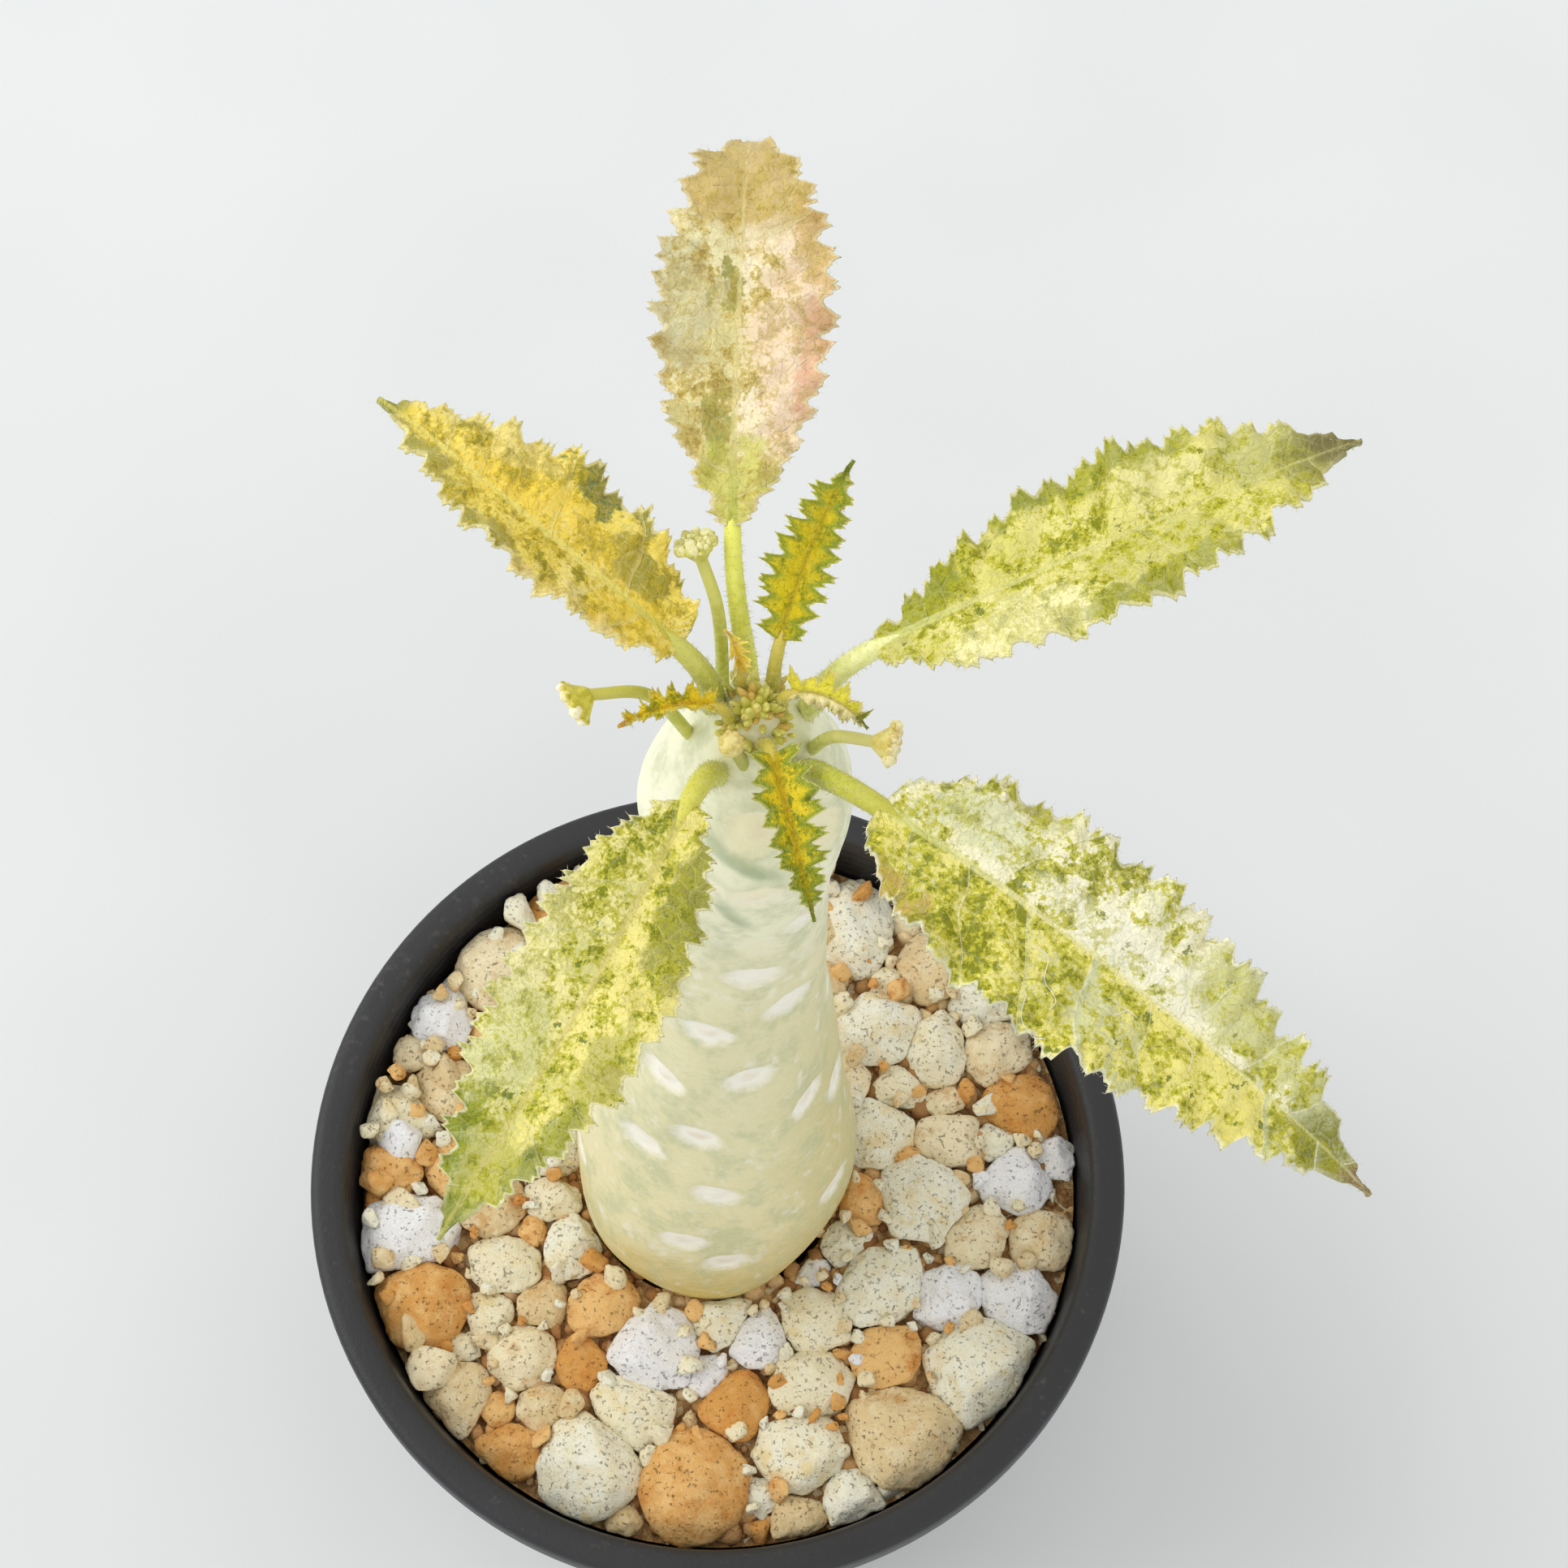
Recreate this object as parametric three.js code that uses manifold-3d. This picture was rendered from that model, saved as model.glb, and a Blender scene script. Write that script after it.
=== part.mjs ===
// A small potted dorstenia: a fat pale stem in a round nursery pot of coarse gravel, with a tuft of
// toothed leaves and stalked flower heads at its tip. Millimetres, +Z up.
// The origin is the middle of the pot's underside, and the front of the plant faces -Y.
import * as THREE from "three";
import { ConvexGeometry } from "three/addons/geometries/ConvexGeometry.js";
import { mergeVertices } from "three/addons/utils/BufferGeometryUtils.js";
import Module from "manifold-3d";

// Pot: a tapered wall with a thick lip round its mouth and drain holes round its floor.
const potHeight = 66;
const lipRadius = 37.5;
const lipWidth = 3.2;
const lipHeight = 4.5;
const potFootRadius = 27.5;
const wallThickness = 1.2;
const floorThickness = 1.6;
const edgeRound = 0.4;
const drainHoleRadius = 3;
const drainRingRadius = 17;
const drainHoles = 6;
const potSides = 48;

// Room left between pieces that touch.
const seatGap = 0.3;

// Soil: its surface at the wall and at the stem, and the granules that lie on it.
const soilEdgeHeight = 60.2;
const soilMiddleHeight = 61.6;
const soilRadius = 33.2;
const soilSides = 32;
const granuleTries = 4000;
const smallGranule = 1.4;
const largeGranule = 3;
const granuleSpacing = 0.85;
const granuleGap = 0.2;
const granuleSeed = 20;
const stemCollar = 12.4;

// Granule form: height and width of its rings as shares of its radius, and their number of points.
const stoneRings = [
  [-0.6, 0.8, 3],
  [0.1, 1, 8],
  [0.5, 0.55, 3],
];
const leastStoneWidth = 1.2;
const stoneWidthSpread = 0.25;
const stoneLevelSpread = 0.15;
const stoneTurnSpread = 0.4;

// Stem: radius against height over the table, from its foot in the mix to its tip.
const stemOutline = [
  [0, 44],
  [4.6, 45.6],
  [8.2, 50],
  [10.6, 56],
  [11.9, 62],
  [12.6, 70],
  [12.2, 80],
  [11, 92],
  [8.8, 110],
  [7.1, 126],
  [6.4, 141],
  [6.4, 152],
  [6.9, 160],
  [6.9, 165],
  [5.2, 171],
  [3.6, 174.6],
  [2.1, 177.4],
  [1, 178.7],
  [0, 179],
];
const stemFoot = new THREE.Vector3(-0.7, 1.2, 62);
const stemTip = new THREE.Vector3(4.4, -0.4, 179);
const stemSides = 18;
const outlineSteps = 27;

// Swellings that keep the stem from being perfectly round: [share of its radius, how many round it,
// millimetres of height for each radian of their twist].
const stemSwells = [
  [0.02, 3, 9],
  [0.012, 5, -6],
];

// Leaf scars: round raised pads. Those that stand out in the photo come first, as [height, degrees
// round the stem], and a spiral of others fills the rest of the stem.
const markedScars = [
  [142.5, -79],
  [129.9, -106],
  [117.2, -129],
  [133, -51],
  [120, -77],
  [107.5, -104],
  [101, -132],
  [108.5, -41],
  [95.2, -92],
  [82.8, -104],
];
const spiralScars = 42;
const lowestScar = 72;
const highestScar = 167;
const scarSpacing = 7;
const scarTopRadius = 1.2;
const scarFootRadius = 1.8;
const scarHeight = 0.4;
const scarDepth = 1.2;
const scarSides = 5;
const goldenAngle = THREE.MathUtils.degToRad(137.5);

// Leaves: blade thickness, and the shape that the margins share.
const bladeThickness = 0.7;
const keelDepth = 0.5;
const toothLift = 0.5;
const bladeColumns = [1, 0.52, 0, -0.52, -1];
const edgeHalfWidth = 0.4;
const crispDepth = 0.13;
const lowBluntness = 0.6;
const highBluntness = 0.85;

// Petioles: their sides and steps, their thickness at the root, at the blade and inside its foot, how
// far they bend, and how far they reach into the blade.
const petioleSides = 7;
const petioleSteps = 5;
const petioleTaper = [1.12, 0.88, 0.4];
const petioleBend = 0.36;
const petioleReach = 0.08;

// Large leaves. root is [degrees round the tip of the stem, distance from its axis]; base, middle
// and tip are points of the midrib, in millimetres from the tip of the stem; half is the width of the
// blade left and right of the midrib; peak moves the widest place towards the tip as it grows; fold
// and roll are in degrees; tipDrop is how far the last stretch of the midrib curls down.
const largeLeaves = {
  leaf_left: {
    root: [149, 3.5],
    base: [-4.6, 2, 4.3],
    middle: [-13.4, 8.2, 8.8],
    tip: [-22.6, 15.6, 10.6],
    half: [4.2, 5.4],
    peak: [0.74, 0.74],
    fold: 16,
    roll: 12,
    teeth: 12,
    waves: 4.5,
    tipDrop: 0.5,
    petiole: 0.85,
    seed: 11,
  },
  leaf_back: {
    root: [89, 3.5],
    base: [-1.4, 9.2, 6],
    middle: [-1.1, 20.2, 9.8],
    tip: [-0.3, 34, 14.6],
    half: [5.4, 6.1],
    peak: [1.02, 1.02],
    fold: 10,
    roll: 0,
    teeth: 13,
    waves: 5,
    tipDrop: 5.5,
    petiole: 0.68,
    seed: 12,
  },
  leaf_right: {
    root: [20, 3.5],
    base: [7.2, 2.3, 3.4],
    middle: [21.6, 7.4, 8],
    tip: [36.4, 13.7, 8.8],
    half: [5.4, 5.6],
    peak: [1.08, 0.84],
    fold: 14,
    roll: -4,
    teeth: 15,
    waves: 5.5,
    tipDrop: 0.5,
    petiole: 0.85,
    seed: 13,
  },
  leaf_front_right: {
    root: [-33, 3.9],
    base: [7.4, -8.2, 4.1],
    middle: [21.8, -19.1, 3.7],
    tip: [35.7, -30.2, -0.7],
    half: [6.5, 6.8],
    peak: [0.68, 0.7],
    fold: 9,
    roll: 0,
    teeth: 16,
    waves: 6,
    tipDrop: 0.8,
    petiole: 0.88,
    seed: 14,
  },
  leaf_front_left: {
    root: [-130, 3.7],
    base: [-4, -6.7, 0.9],
    middle: [-10.7, -19.8, -0.5],
    tip: [-18.7, -31.9, -4.5],
    half: [5.5, 5.4],
    peak: [0.84, 0.84],
    fold: 12,
    roll: 0,
    teeth: 14,
    waves: 5.5,
    tipDrop: 0.8,
    petiole: 0.88,
    seed: 15,
  },
};

// Young leaves, still folded along the midrib, with long teeth for their size.
const youngLeaves = {
  young_leaf_back_right: {
    root: [55, 2.1],
    base: [1.5, 3, 3.3],
    middle: [3.3, 7.8, 5.6],
    tip: [5.9, 12.9, 7.5],
    half: [2.7, 2.6],
    peak: [0.66, 0.66],
    fold: 30,
    roll: 0,
    teeth: 9,
    waves: 0,
    tipDrop: 0,
    petiole: 0.5,
    seed: 21,
  },
  young_leaf_front: {
    root: [-86, 2.2],
    base: [1, -3.7, 1.1],
    middle: [2.2, -8.8, 1.4],
    tip: [3.5, -13.6, -0.8],
    half: [2.6, 2.3],
    peak: [0.6, 0.6],
    fold: 37,
    roll: 0,
    teeth: 8,
    waves: 0,
    tipDrop: 0,
    petiole: 0.5,
    seed: 22,
  },
  young_leaf_left: {
    root: [196, 2],
    base: [-2.6, -0.8, 1.8],
    middle: [-5.2, -1, 2.2],
    tip: [-8.3, -1.8, 0.9],
    half: [1.3, 1.3],
    peak: [0.6, 0.6],
    fold: 48,
    roll: 0,
    teeth: 6,
    waves: 0,
    tipDrop: 0,
    petiole: 0.45,
    seed: 23,
  },
  young_leaf_right: {
    root: [2, 2.15],
    base: [2.3, 0, 1.9],
    middle: [4.6, -0.7, 2.6],
    tip: [6.7, -1.9, 1],
    half: [1.3, 1.3],
    peak: [0.6, 0.6],
    fold: 42,
    roll: 0,
    teeth: 6,
    waves: 0,
    tipDrop: 0,
    petiole: 0.45,
    seed: 24,
  },
  young_leaf_back_left: {
    root: [122, 2.1],
    base: [-1, 1.6, 2],
    middle: [-1.3, 2.3, 3.6],
    tip: [-1.9, 2.9, 4.9],
    half: [0.7, 0.7],
    peak: [0.6, 0.6],
    fold: 50,
    roll: 0,
    teeth: 4,
    waves: 0,
    tipDrop: 0,
    petiole: 0.4,
    seed: 25,
  },
};
const largeToothDepth = 0.9;
const youngToothDepth = 1.1;

// Flower heads: points of the stalk from the tip of the stem, the way the disc faces, and its radius.
const flowerHeads = {
  flower_head_left: {
    root: [176, 4],
    stalk: [
      [-6.9, 0.7, 0.3],
      [-10.2, 0.35, 0.9],
    ],
    faces: [-0.8, -0.45, -0.25],
    radius: 1.4,
    seed: 31,
  },
  flower_head_right: {
    root: [-12, 3.8],
    stalk: [
      [5, -1.9, -0.3],
      [7.3, -2.3, -0.2],
    ],
    faces: [1, -0.25, 0.1],
    radius: 1.25,
    seed: 32,
  },
  flower_head_back: {
    root: [127, 3.5],
    stalk: [
      [-2.4, 5.2, 3.6],
      [-3.35, 7.6, 5.2],
    ],
    faces: [-0.25, 0.5, 0.85],
    radius: 1.2,
    seed: 33,
  },
};
const stalkRadius = 0.4;
const stalkSides = 5;
const stalkSteps = 6;
const discDepth = 1.1;
const discSides = 9;
const floretRadius = 0.36;
const floretCount = 10;

// Crown: the round flower bud, and the cluster of tiny leaf buds at the tip.
const budRoot = [-100, 2.9];
const budCentre = [-1.5, -3, 1.3];
const budRadius = 0.85;
const budStalkRadius = 0.4;
const crownCoreRadius = 0.9;
const crownBudCount = 8;
const crownRadius = 0.75;
const crownBudRadius = 0.42;
const crownBudLength = 1.1;
const crownSeed = 41;

const wasm = await Module();
wasm.setup();

// Repeatable random numbers from 0 to 1.
function randomFrom(seed) {
  let state = seed * 7919;
  return () => {
    state = (state * 48271) % 2147483647;
    return state / 2147483647;
  };
}

function solidOf(geometry) {
  const bare = new THREE.BufferGeometry();
  bare.setAttribute("position", geometry.getAttribute("position").clone());
  if (geometry.index) bare.setIndex(geometry.index.clone());
  const merged = mergeVertices(bare, 1e-4);
  return new wasm.Manifold(
    new wasm.Mesh({
      numProp: 3,
      vertProperties: merged.attributes.position.array,
      triVerts: new Uint32Array(merged.index.array),
    }),
  );
}

// The largest body of a solid, so that no loose scrap of a cut is kept.
function mainBody(solid) {
  return solid.decompose().reduce((a, b) => (b.volume() > a.volume() ? b : a));
}

function geometryOf(solid) {
  const mesh = solid.getMesh();
  const geometry = new THREE.BufferGeometry();
  geometry.setAttribute("position", new THREE.BufferAttribute(mesh.vertProperties, 3));
  geometry.setIndex(new THREE.BufferAttribute(mesh.triVerts, 1));
  geometry.computeVertexNormals();
  return geometry;
}

// A closed surface through rings of points, with a cap at each end.
function loft(rings) {
  const sides = rings[0].length;
  const points = rings.flat();
  const middle = (ring) => ring.reduce((sum, p) => sum.add(p), new THREE.Vector3()).divideScalar(sides);
  const start = points.push(middle(rings[0])) - 1;
  const end = points.push(middle(rings.at(-1))) - 1;
  const last = (rings.length - 1) * sides;
  const faces = [];
  for (let k = 0; k < sides; k++) {
    const next = (k + 1) % sides;
    for (let low = 0; low < last; low += sides) {
      const high = low + sides;
      faces.push(low + k, low + next, high + next, low + k, high + next, high + k);
    }
    faces.push(start, next, k, end, last + k, last + next);
  }
  const geometry = new THREE.BufferGeometry().setFromPoints(points);
  geometry.setIndex(faces);
  return geometry;
}

// A round tube through points, with a radius at each of them. Its frame is carried along without twist.
function tube(points, radii, sides) {
  const rings = [];
  let across = new THREE.Vector3(1, 0, 0);
  points.forEach((point, i) => {
    const before = points[Math.max(i - 1, 0)];
    const after = points[Math.min(i + 1, points.length - 1)];
    const along = after.clone().sub(before).normalize();
    across = across.clone().addScaledVector(along, -across.dot(along)).normalize();
    const other = along.clone().cross(across);
    const ring = [];
    for (let k = 0; k < sides; k++) {
      const turn = (2 * Math.PI * k) / sides;
      ring.push(
        point
          .clone()
          .addScaledVector(across, radii[i] * Math.cos(turn))
          .addScaledVector(other, radii[i] * Math.sin(turn)),
      );
    }
    rings.push(ring);
  });
  return loft(rings);
}

function standUp(geometry) {
  return geometry.rotateX(Math.PI / 2);
}

function innerWall(height) {
  const top = lipRadius - lipWidth;
  const foot = potFootRadius - wallThickness;
  return foot + ((top - foot) * height) / potHeight;
}

function potSolid() {
  const underLip = potHeight - lipHeight;
  const profile = [
    [0, 0],
    [potFootRadius - edgeRound, 0],
    [potFootRadius, edgeRound],
    [innerWall(underLip) + wallThickness, underLip],
    [lipRadius - edgeRound, underLip],
    [lipRadius, underLip + edgeRound],
    [lipRadius, potHeight - 2 * edgeRound],
    [lipRadius - 2 * edgeRound, potHeight],
    [lipRadius - lipWidth + edgeRound, potHeight],
    [innerWall(potHeight - edgeRound), potHeight - edgeRound],
    [innerWall(floorThickness), floorThickness],
    [0, floorThickness],
  ].map(([radius, height]) => new THREE.Vector2(radius, height));
  let pot = solidOf(standUp(new THREE.LatheGeometry(profile, potSides)));
  for (let k = 0; k < drainHoles; k++) {
    const turn = (2 * Math.PI * k) / drainHoles;
    const drill = new THREE.CylinderGeometry(drainHoleRadius, drainHoleRadius, 4 * floorThickness, 16);
    standUp(drill).translate(drainRingRadius * Math.cos(turn), drainRingRadius * Math.sin(turn), 0);
    pot = pot.subtract(solidOf(drill));
  }
  return pot;
}

function stemAxis(height) {
  const share = (height - stemFoot.z) / (stemTip.z - stemFoot.z);
  return stemFoot.clone().lerp(stemTip, Math.max(share, 0)).setZ(height);
}

function stemPoint(radius, height, turn) {
  const axis = stemAxis(height);
  let reach = radius;
  for (const [share, count, twist] of stemSwells) {
    reach += share * radius * Math.sin(count * turn + height / twist);
  }
  return new THREE.Vector3(axis.x + reach * Math.cos(turn), axis.y + reach * Math.sin(turn), height);
}

const stemCurve = new THREE.SplineCurve(stemOutline.map((point) => new THREE.Vector2(...point)));

// The stem's surface, pushed out by grow. Without grow it is the stem itself.
function stemBody(grow) {
  const rings = [];
  for (let i = 1; i < outlineSteps; i++) {
    const point = stemCurve.getPoint(i / outlineSteps);
    const along = stemCurve.getTangent(i / outlineSteps);
    const radius = point.x + grow * along.y;
    const height = point.y - grow * along.x;
    const ring = [];
    for (let k = 0; k < stemSides; k++) {
      ring.push(stemPoint(radius, height, (2 * Math.PI * k) / stemSides));
    }
    rings.push(ring);
  }
  return solidOf(loft(rings));
}

// Radius of the stem at a height, found along its outline.
function stemRadius(height) {
  const points = stemCurve.getPoints(8 * outlineSteps);
  const at = points.findIndex((point) => point.y >= height);
  return points[Math.max(at, 0)].x;
}

// Height of the domed tip at a distance from its axis.
function domeHeight(distance) {
  const points = stemCurve.getPoints(8 * outlineSteps).reverse();
  return points.find((point) => point.x >= distance).y;
}

// Places of all scars: [height, turn].
function scarPlaces() {
  const places = markedScars.map(([height, degrees]) => [height, THREE.MathUtils.degToRad(degrees)]);
  const marked = [...places];
  for (let k = 0; k < spiralScars; k++) {
    const height = lowestScar + ((highestScar - lowestScar) * k) / (spiralScars - 1);
    const turn = k * goldenAngle;
    const free = marked.every(([otherHeight, otherTurn]) => {
      const across = 2 * stemRadius(height) * Math.sin((turn - otherTurn) / 2);
      return Math.hypot(across, height - otherHeight) > scarSpacing;
    });
    if (free) places.push([height, turn]);
  }
  return places;
}

function stemSolid() {
  let stem = stemBody(0);
  for (const [height, turn] of scarPlaces()) {
    const centre = stemPoint(stemRadius(height), height, turn);
    const slope = (stemRadius(height - 1) - stemRadius(height + 1)) / 2;
    const outwards = new THREE.Vector3(Math.cos(turn), Math.sin(turn), slope).normalize();
    const pad = new THREE.CylinderGeometry(scarTopRadius, scarFootRadius, scarDepth, scarSides);
    pad.translate(0, scarHeight - scarDepth / 2, 0);
    pad.applyQuaternion(new THREE.Quaternion().setFromUnitVectors(new THREE.Vector3(0, 1, 0), outwards));
    pad.translate(centre.x, centre.y, centre.z);
    stem = stem.add(solidOf(pad));
  }
  return stem;
}

function soilHeight(distance) {
  return soilMiddleHeight + ((soilEdgeHeight - soilMiddleHeight) * distance) / innerWall(soilEdgeHeight);
}

// Granules that stand out in the photo: [x, y, radius].
const markedGranules = [
  [-28.5, 17, 3.2],
  [-29, -4.5, 4.2],
  [-6, -16, 3.8],
  [3.8, -14.6, 2.3],
  [28, 0.3, 3],
  [27.3, -10.4, 3],
  [15, 14.8, 3.8],
  [20.5, 12.6, 3.4],
  [19.2, -1.3, 4],
  [25, -18.3, 4.8],
  [8, -25.4, 3.9],
  [8.6, -18.6, 3.2],
  [-11.5, -26, 5.3],
  [-31, 6.2, 3],
  [12.4, -30, 2.8],
  [-22.8, 22, 4.3],
  [-16, 28, 3.8],
  [-29, -12, 4.4],
  [-2.5, -28, 5],
  [16.8, -23.6, 5.2],
  [29.6, -5.3, 2.7],
  [-23.5, -19.5, 3],
  [-30.3, 0.8, 3.1],
  [-8, -21.3, 3.4],
  [1.6, -20.6, 2.7],
  [-17.6, -16.2, 3.2],
  [15, -9.6, 3.9],
  [12.6, 25, 3.9],
  [20.3, 21.6, 3.5],
  [25.6, 12.8, 3],
];

// Places of all granules: the marked ones, kept off the wall, then smaller ones wherever there is
// room between them.
function granulePlaces() {
  const random = randomFrom(granuleSeed);
  const places = markedGranules.map(([x, y, radius]) => {
    const inwards = Math.min(1, (soilRadius - 0.8 * radius) / Math.hypot(x, y));
    return { x: inwards * x, y: inwards * y, radius };
  });
  for (let i = 0; i < granuleTries; i++) {
    const radius = largeGranule - ((largeGranule - smallGranule) * i) / granuleTries;
    const turn = 2 * Math.PI * random();
    const distance = (soilRadius - 0.6 * radius) * Math.sqrt(random());
    const x = distance * Math.cos(turn);
    const y = distance * Math.sin(turn);
    const offStem = Math.hypot(x - stemFoot.x, y - stemFoot.y) > stemCollar + 0.6 * radius;
    const free = places.every(
      (other) => Math.hypot(other.x - x, other.y - y) > granuleSpacing * (other.radius + radius),
    );
    if (offStem && free) places.push({ x, y, radius });
  }
  return places;
}

// How far a granule reaches in one direction before it meets the wall, the stem or a neighbour.
function roomAround(place, turn, places) {
  const ahead = (x, y) => x * Math.cos(turn) + y * Math.sin(turn);
  const outwards = ahead(place.x, place.y);
  const fromMiddle = Math.hypot(place.x, place.y);
  let room = Math.sqrt(outwards ** 2 + soilRadius ** 2 - fromMiddle ** 2) - outwards;
  const meet = (x, y, limit) => {
    const facing = ahead(x, y) / Math.hypot(x, y);
    if (facing > 0) room = Math.min(room, limit / facing);
  };
  const stemX = stemFoot.x - place.x;
  const stemY = stemFoot.y - place.y;
  meet(stemX, stemY, Math.hypot(stemX, stemY) - stemCollar);
  for (const other of places) {
    if (other === place) continue;
    const x = other.x - place.x;
    const y = other.y - place.y;
    const share = place.radius / (place.radius + other.radius);
    meet(x, y, share * Math.hypot(x, y) - granuleGap / 2);
  }
  return room;
}

// One broken stone: the hull of a ring in the mix, a wide ring just over it and a small one on top.
function granuleGeometry(place, places, random) {
  const height = soilHeight(Math.hypot(place.x, place.y));
  const points = [];
  for (const [level, width, count] of stoneRings) {
    const spin = 2 * Math.PI * random();
    for (let k = 0; k < count; k++) {
      const turn = spin + (2 * Math.PI * (k + stoneTurnSpread * random())) / count;
      const full = place.radius * (leastStoneWidth + stoneWidthSpread * random());
      const reach = width * Math.min(full, roomAround(place, turn, places));
      points.push(
        new THREE.Vector3(
          place.x + reach * Math.cos(turn),
          place.y + reach * Math.sin(turn),
          height + place.radius * (level + stoneLevelSpread * random()),
        ),
      );
    }
  }
  return new ConvexGeometry(points);
}

function soilSolid(stemHole) {
  const low = floorThickness + seatGap;
  const profile = [
    [0, low],
    [innerWall(low) - seatGap, low],
    [soilRadius, soilEdgeHeight],
    [0, soilMiddleHeight],
  ].map(([radius, height]) => new THREE.Vector2(radius, height));
  let soil = solidOf(standUp(new THREE.LatheGeometry(profile, soilSides)));
  const random = randomFrom(granuleSeed + 1);
  const places = granulePlaces();
  for (const place of places) {
    soil = soil.add(solidOf(granuleGeometry(place, places, random)));
  }
  return mainBody(soil.subtract(stemHole));
}

// A point given from the tip of the stem, in the frame of the part.
function fromTip([x, y, z]) {
  return stemTip.clone().add(new THREE.Vector3(x, y, z));
}

// Where a stalk leaves the domed tip: a point inside it, for the stalk to be cut off at the surface.
function rootPoint([degrees, distance]) {
  const turn = THREE.MathUtils.degToRad(degrees);
  const height = domeHeight(distance);
  const axis = stemAxis(height);
  return new THREE.Vector3(
    axis.x + 0.9 * distance * Math.cos(turn),
    axis.y + 0.9 * distance * Math.sin(turn),
    height - 1.2,
  );
}

// The midrib as a curve through its base, middle and tip, and the petiole that runs smoothly into it.
function leafCurves(leaf) {
  const root = rootPoint(leaf.root);
  const base = fromTip(leaf.base);
  const middle = fromTip(leaf.middle);
  const tip = fromTip(leaf.tip);
  const bend = middle.clone().multiplyScalar(2).addScaledVector(base, -0.5).addScaledVector(tip, -0.5);
  const along = bend.clone().sub(base).normalize();
  const knee = base.clone().addScaledVector(along, -petioleBend * base.distanceTo(root));
  return {
    petiole: new THREE.QuadraticBezierCurve3(root, knee, base),
    rib: new THREE.QuadraticBezierCurve3(base, bend, tip),
  };
}

// Share of the full width along a blade: blunt below the widest place and tapering above it.
function leafOutline(share, peak) {
  const phase = share ** peak;
  return Math.sin(Math.PI * phase) ** (phase < 0.5 ? lowBluntness : highBluntness);
}

// A toothed, waved blade: a thin sheet of five columns from margin to margin.
function bladeGeometry(leaf, rib, toothDepth) {
  const random = randomFrom(leaf.seed);
  const rows = 2 * leaf.teeth + 1;
  const step = rib.getLength() / rows;
  const fold = THREE.MathUtils.degToRad(leaf.fold);
  const roll = THREE.MathUtils.degToRad(leaf.roll);
  const phase = [2 * Math.PI * random(), 2 * Math.PI * random()];
  const sheet = [];
  const lifts = [];
  for (let i = 0; i <= rows; i++) {
    const share = i / rows;
    const along = rib.getTangentAt(share);
    const left = new THREE.Vector3(0, 0, 1).cross(along).normalize().applyAxisAngle(along, roll);
    const up = along.clone().cross(left);
    const centre = rib.getPointAt(share);
    centre.z -= leaf.tipDrop * Math.max(0, (share - 0.8) / 0.2) ** 2;
    for (const column of bladeColumns) {
      const side = column > 0 ? 0 : 1;
      const onMargin = Math.abs(column) === 1;
      const isTooth = i % 2 === 1;
      const jag = random();
      const lean = random();
      let half = Math.abs(column) * leaf.half[side] * leafOutline(share, leaf.peak[side]);
      let push = 0;
      if (onMargin) {
        const notch = isTooth ? -0.25 * jag : 0.65 + 0.5 * jag;
        half -= Math.min(toothDepth * notch, 0.5 * half);
        push = step * (isTooth ? 0.25 + 0.35 * lean : -0.25 * lean);
        half = Math.max(half, edgeHalfWidth);
      } else if (column !== 0) {
        half = Math.max(half, edgeHalfWidth / 2);
      }
      let wave = crispDepth * half * column ** 2 * Math.sin(2 * Math.PI * leaf.waves * share + phase[side]);
      if (onMargin) wave += toothLift * (jag - 0.5);
      sheet.push(
        centre
          .clone()
          .addScaledVector(left, Math.sign(column) * half * Math.cos(fold))
          .addScaledVector(up, half * Math.sin(fold) + wave)
          .addScaledVector(along, share > 0 && share < 1 ? push : 0),
      );
      lifts.push(up);
    }
  }
  return thickened(sheet, lifts, bladeThickness / Math.cos(fold));
}

// A grid of points made a closed sheet of a given depth, with the same triangles on both faces and
// the midrib as a keel under it. lifts is the upward direction at each point.
function thickened(sheet, lifts, depth) {
  const columns = bladeColumns.length;
  const rows = sheet.length / columns;
  const top = [];
  for (let i = 0; i < rows - 1; i++) {
    for (let j = 0; j < columns - 1; j++) {
      const a = i * columns + j;
      const b = a + columns;
      const c = b + 1;
      const d = a + 1;
      if (j < (columns - 1) / 2) top.push(a, d, b, d, c, b);
      else top.push(a, d, c, a, c, b);
    }
  }
  const upper = sheet.map((point, i) => point.clone().addScaledVector(lifts[i], depth / 2));
  const lower = sheet.map((point, i) => {
    const isRib = i % columns === (columns - 1) / 2;
    const keel = isRib ? keelDepth * (1 - i / sheet.length) : 0;
    return point.clone().addScaledVector(lifts[i], -depth / 2 - keel);
  });
  const under = sheet.length;
  const faces = [...top];
  for (let i = 0; i < top.length; i += 3) {
    faces.push(top[i] + under, top[i + 2] + under, top[i + 1] + under);
  }
  const rim = [];
  for (let j = 0; j < columns - 1; j++) rim.push(j);
  for (let i = 0; i < rows - 1; i++) rim.push(i * columns + columns - 1);
  for (let j = columns - 1; j > 0; j--) rim.push((rows - 1) * columns + j);
  for (let i = rows - 1; i > 0; i--) rim.push(i * columns);
  rim.forEach((a, k) => {
    const b = rim[(k + 1) % rim.length];
    faces.push(a, a + under, b + under, a, b + under, b);
  });
  const geometry = new THREE.BufferGeometry().setFromPoints([...upper, ...lower]);
  geometry.setIndex(faces);
  return geometry;
}

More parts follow.
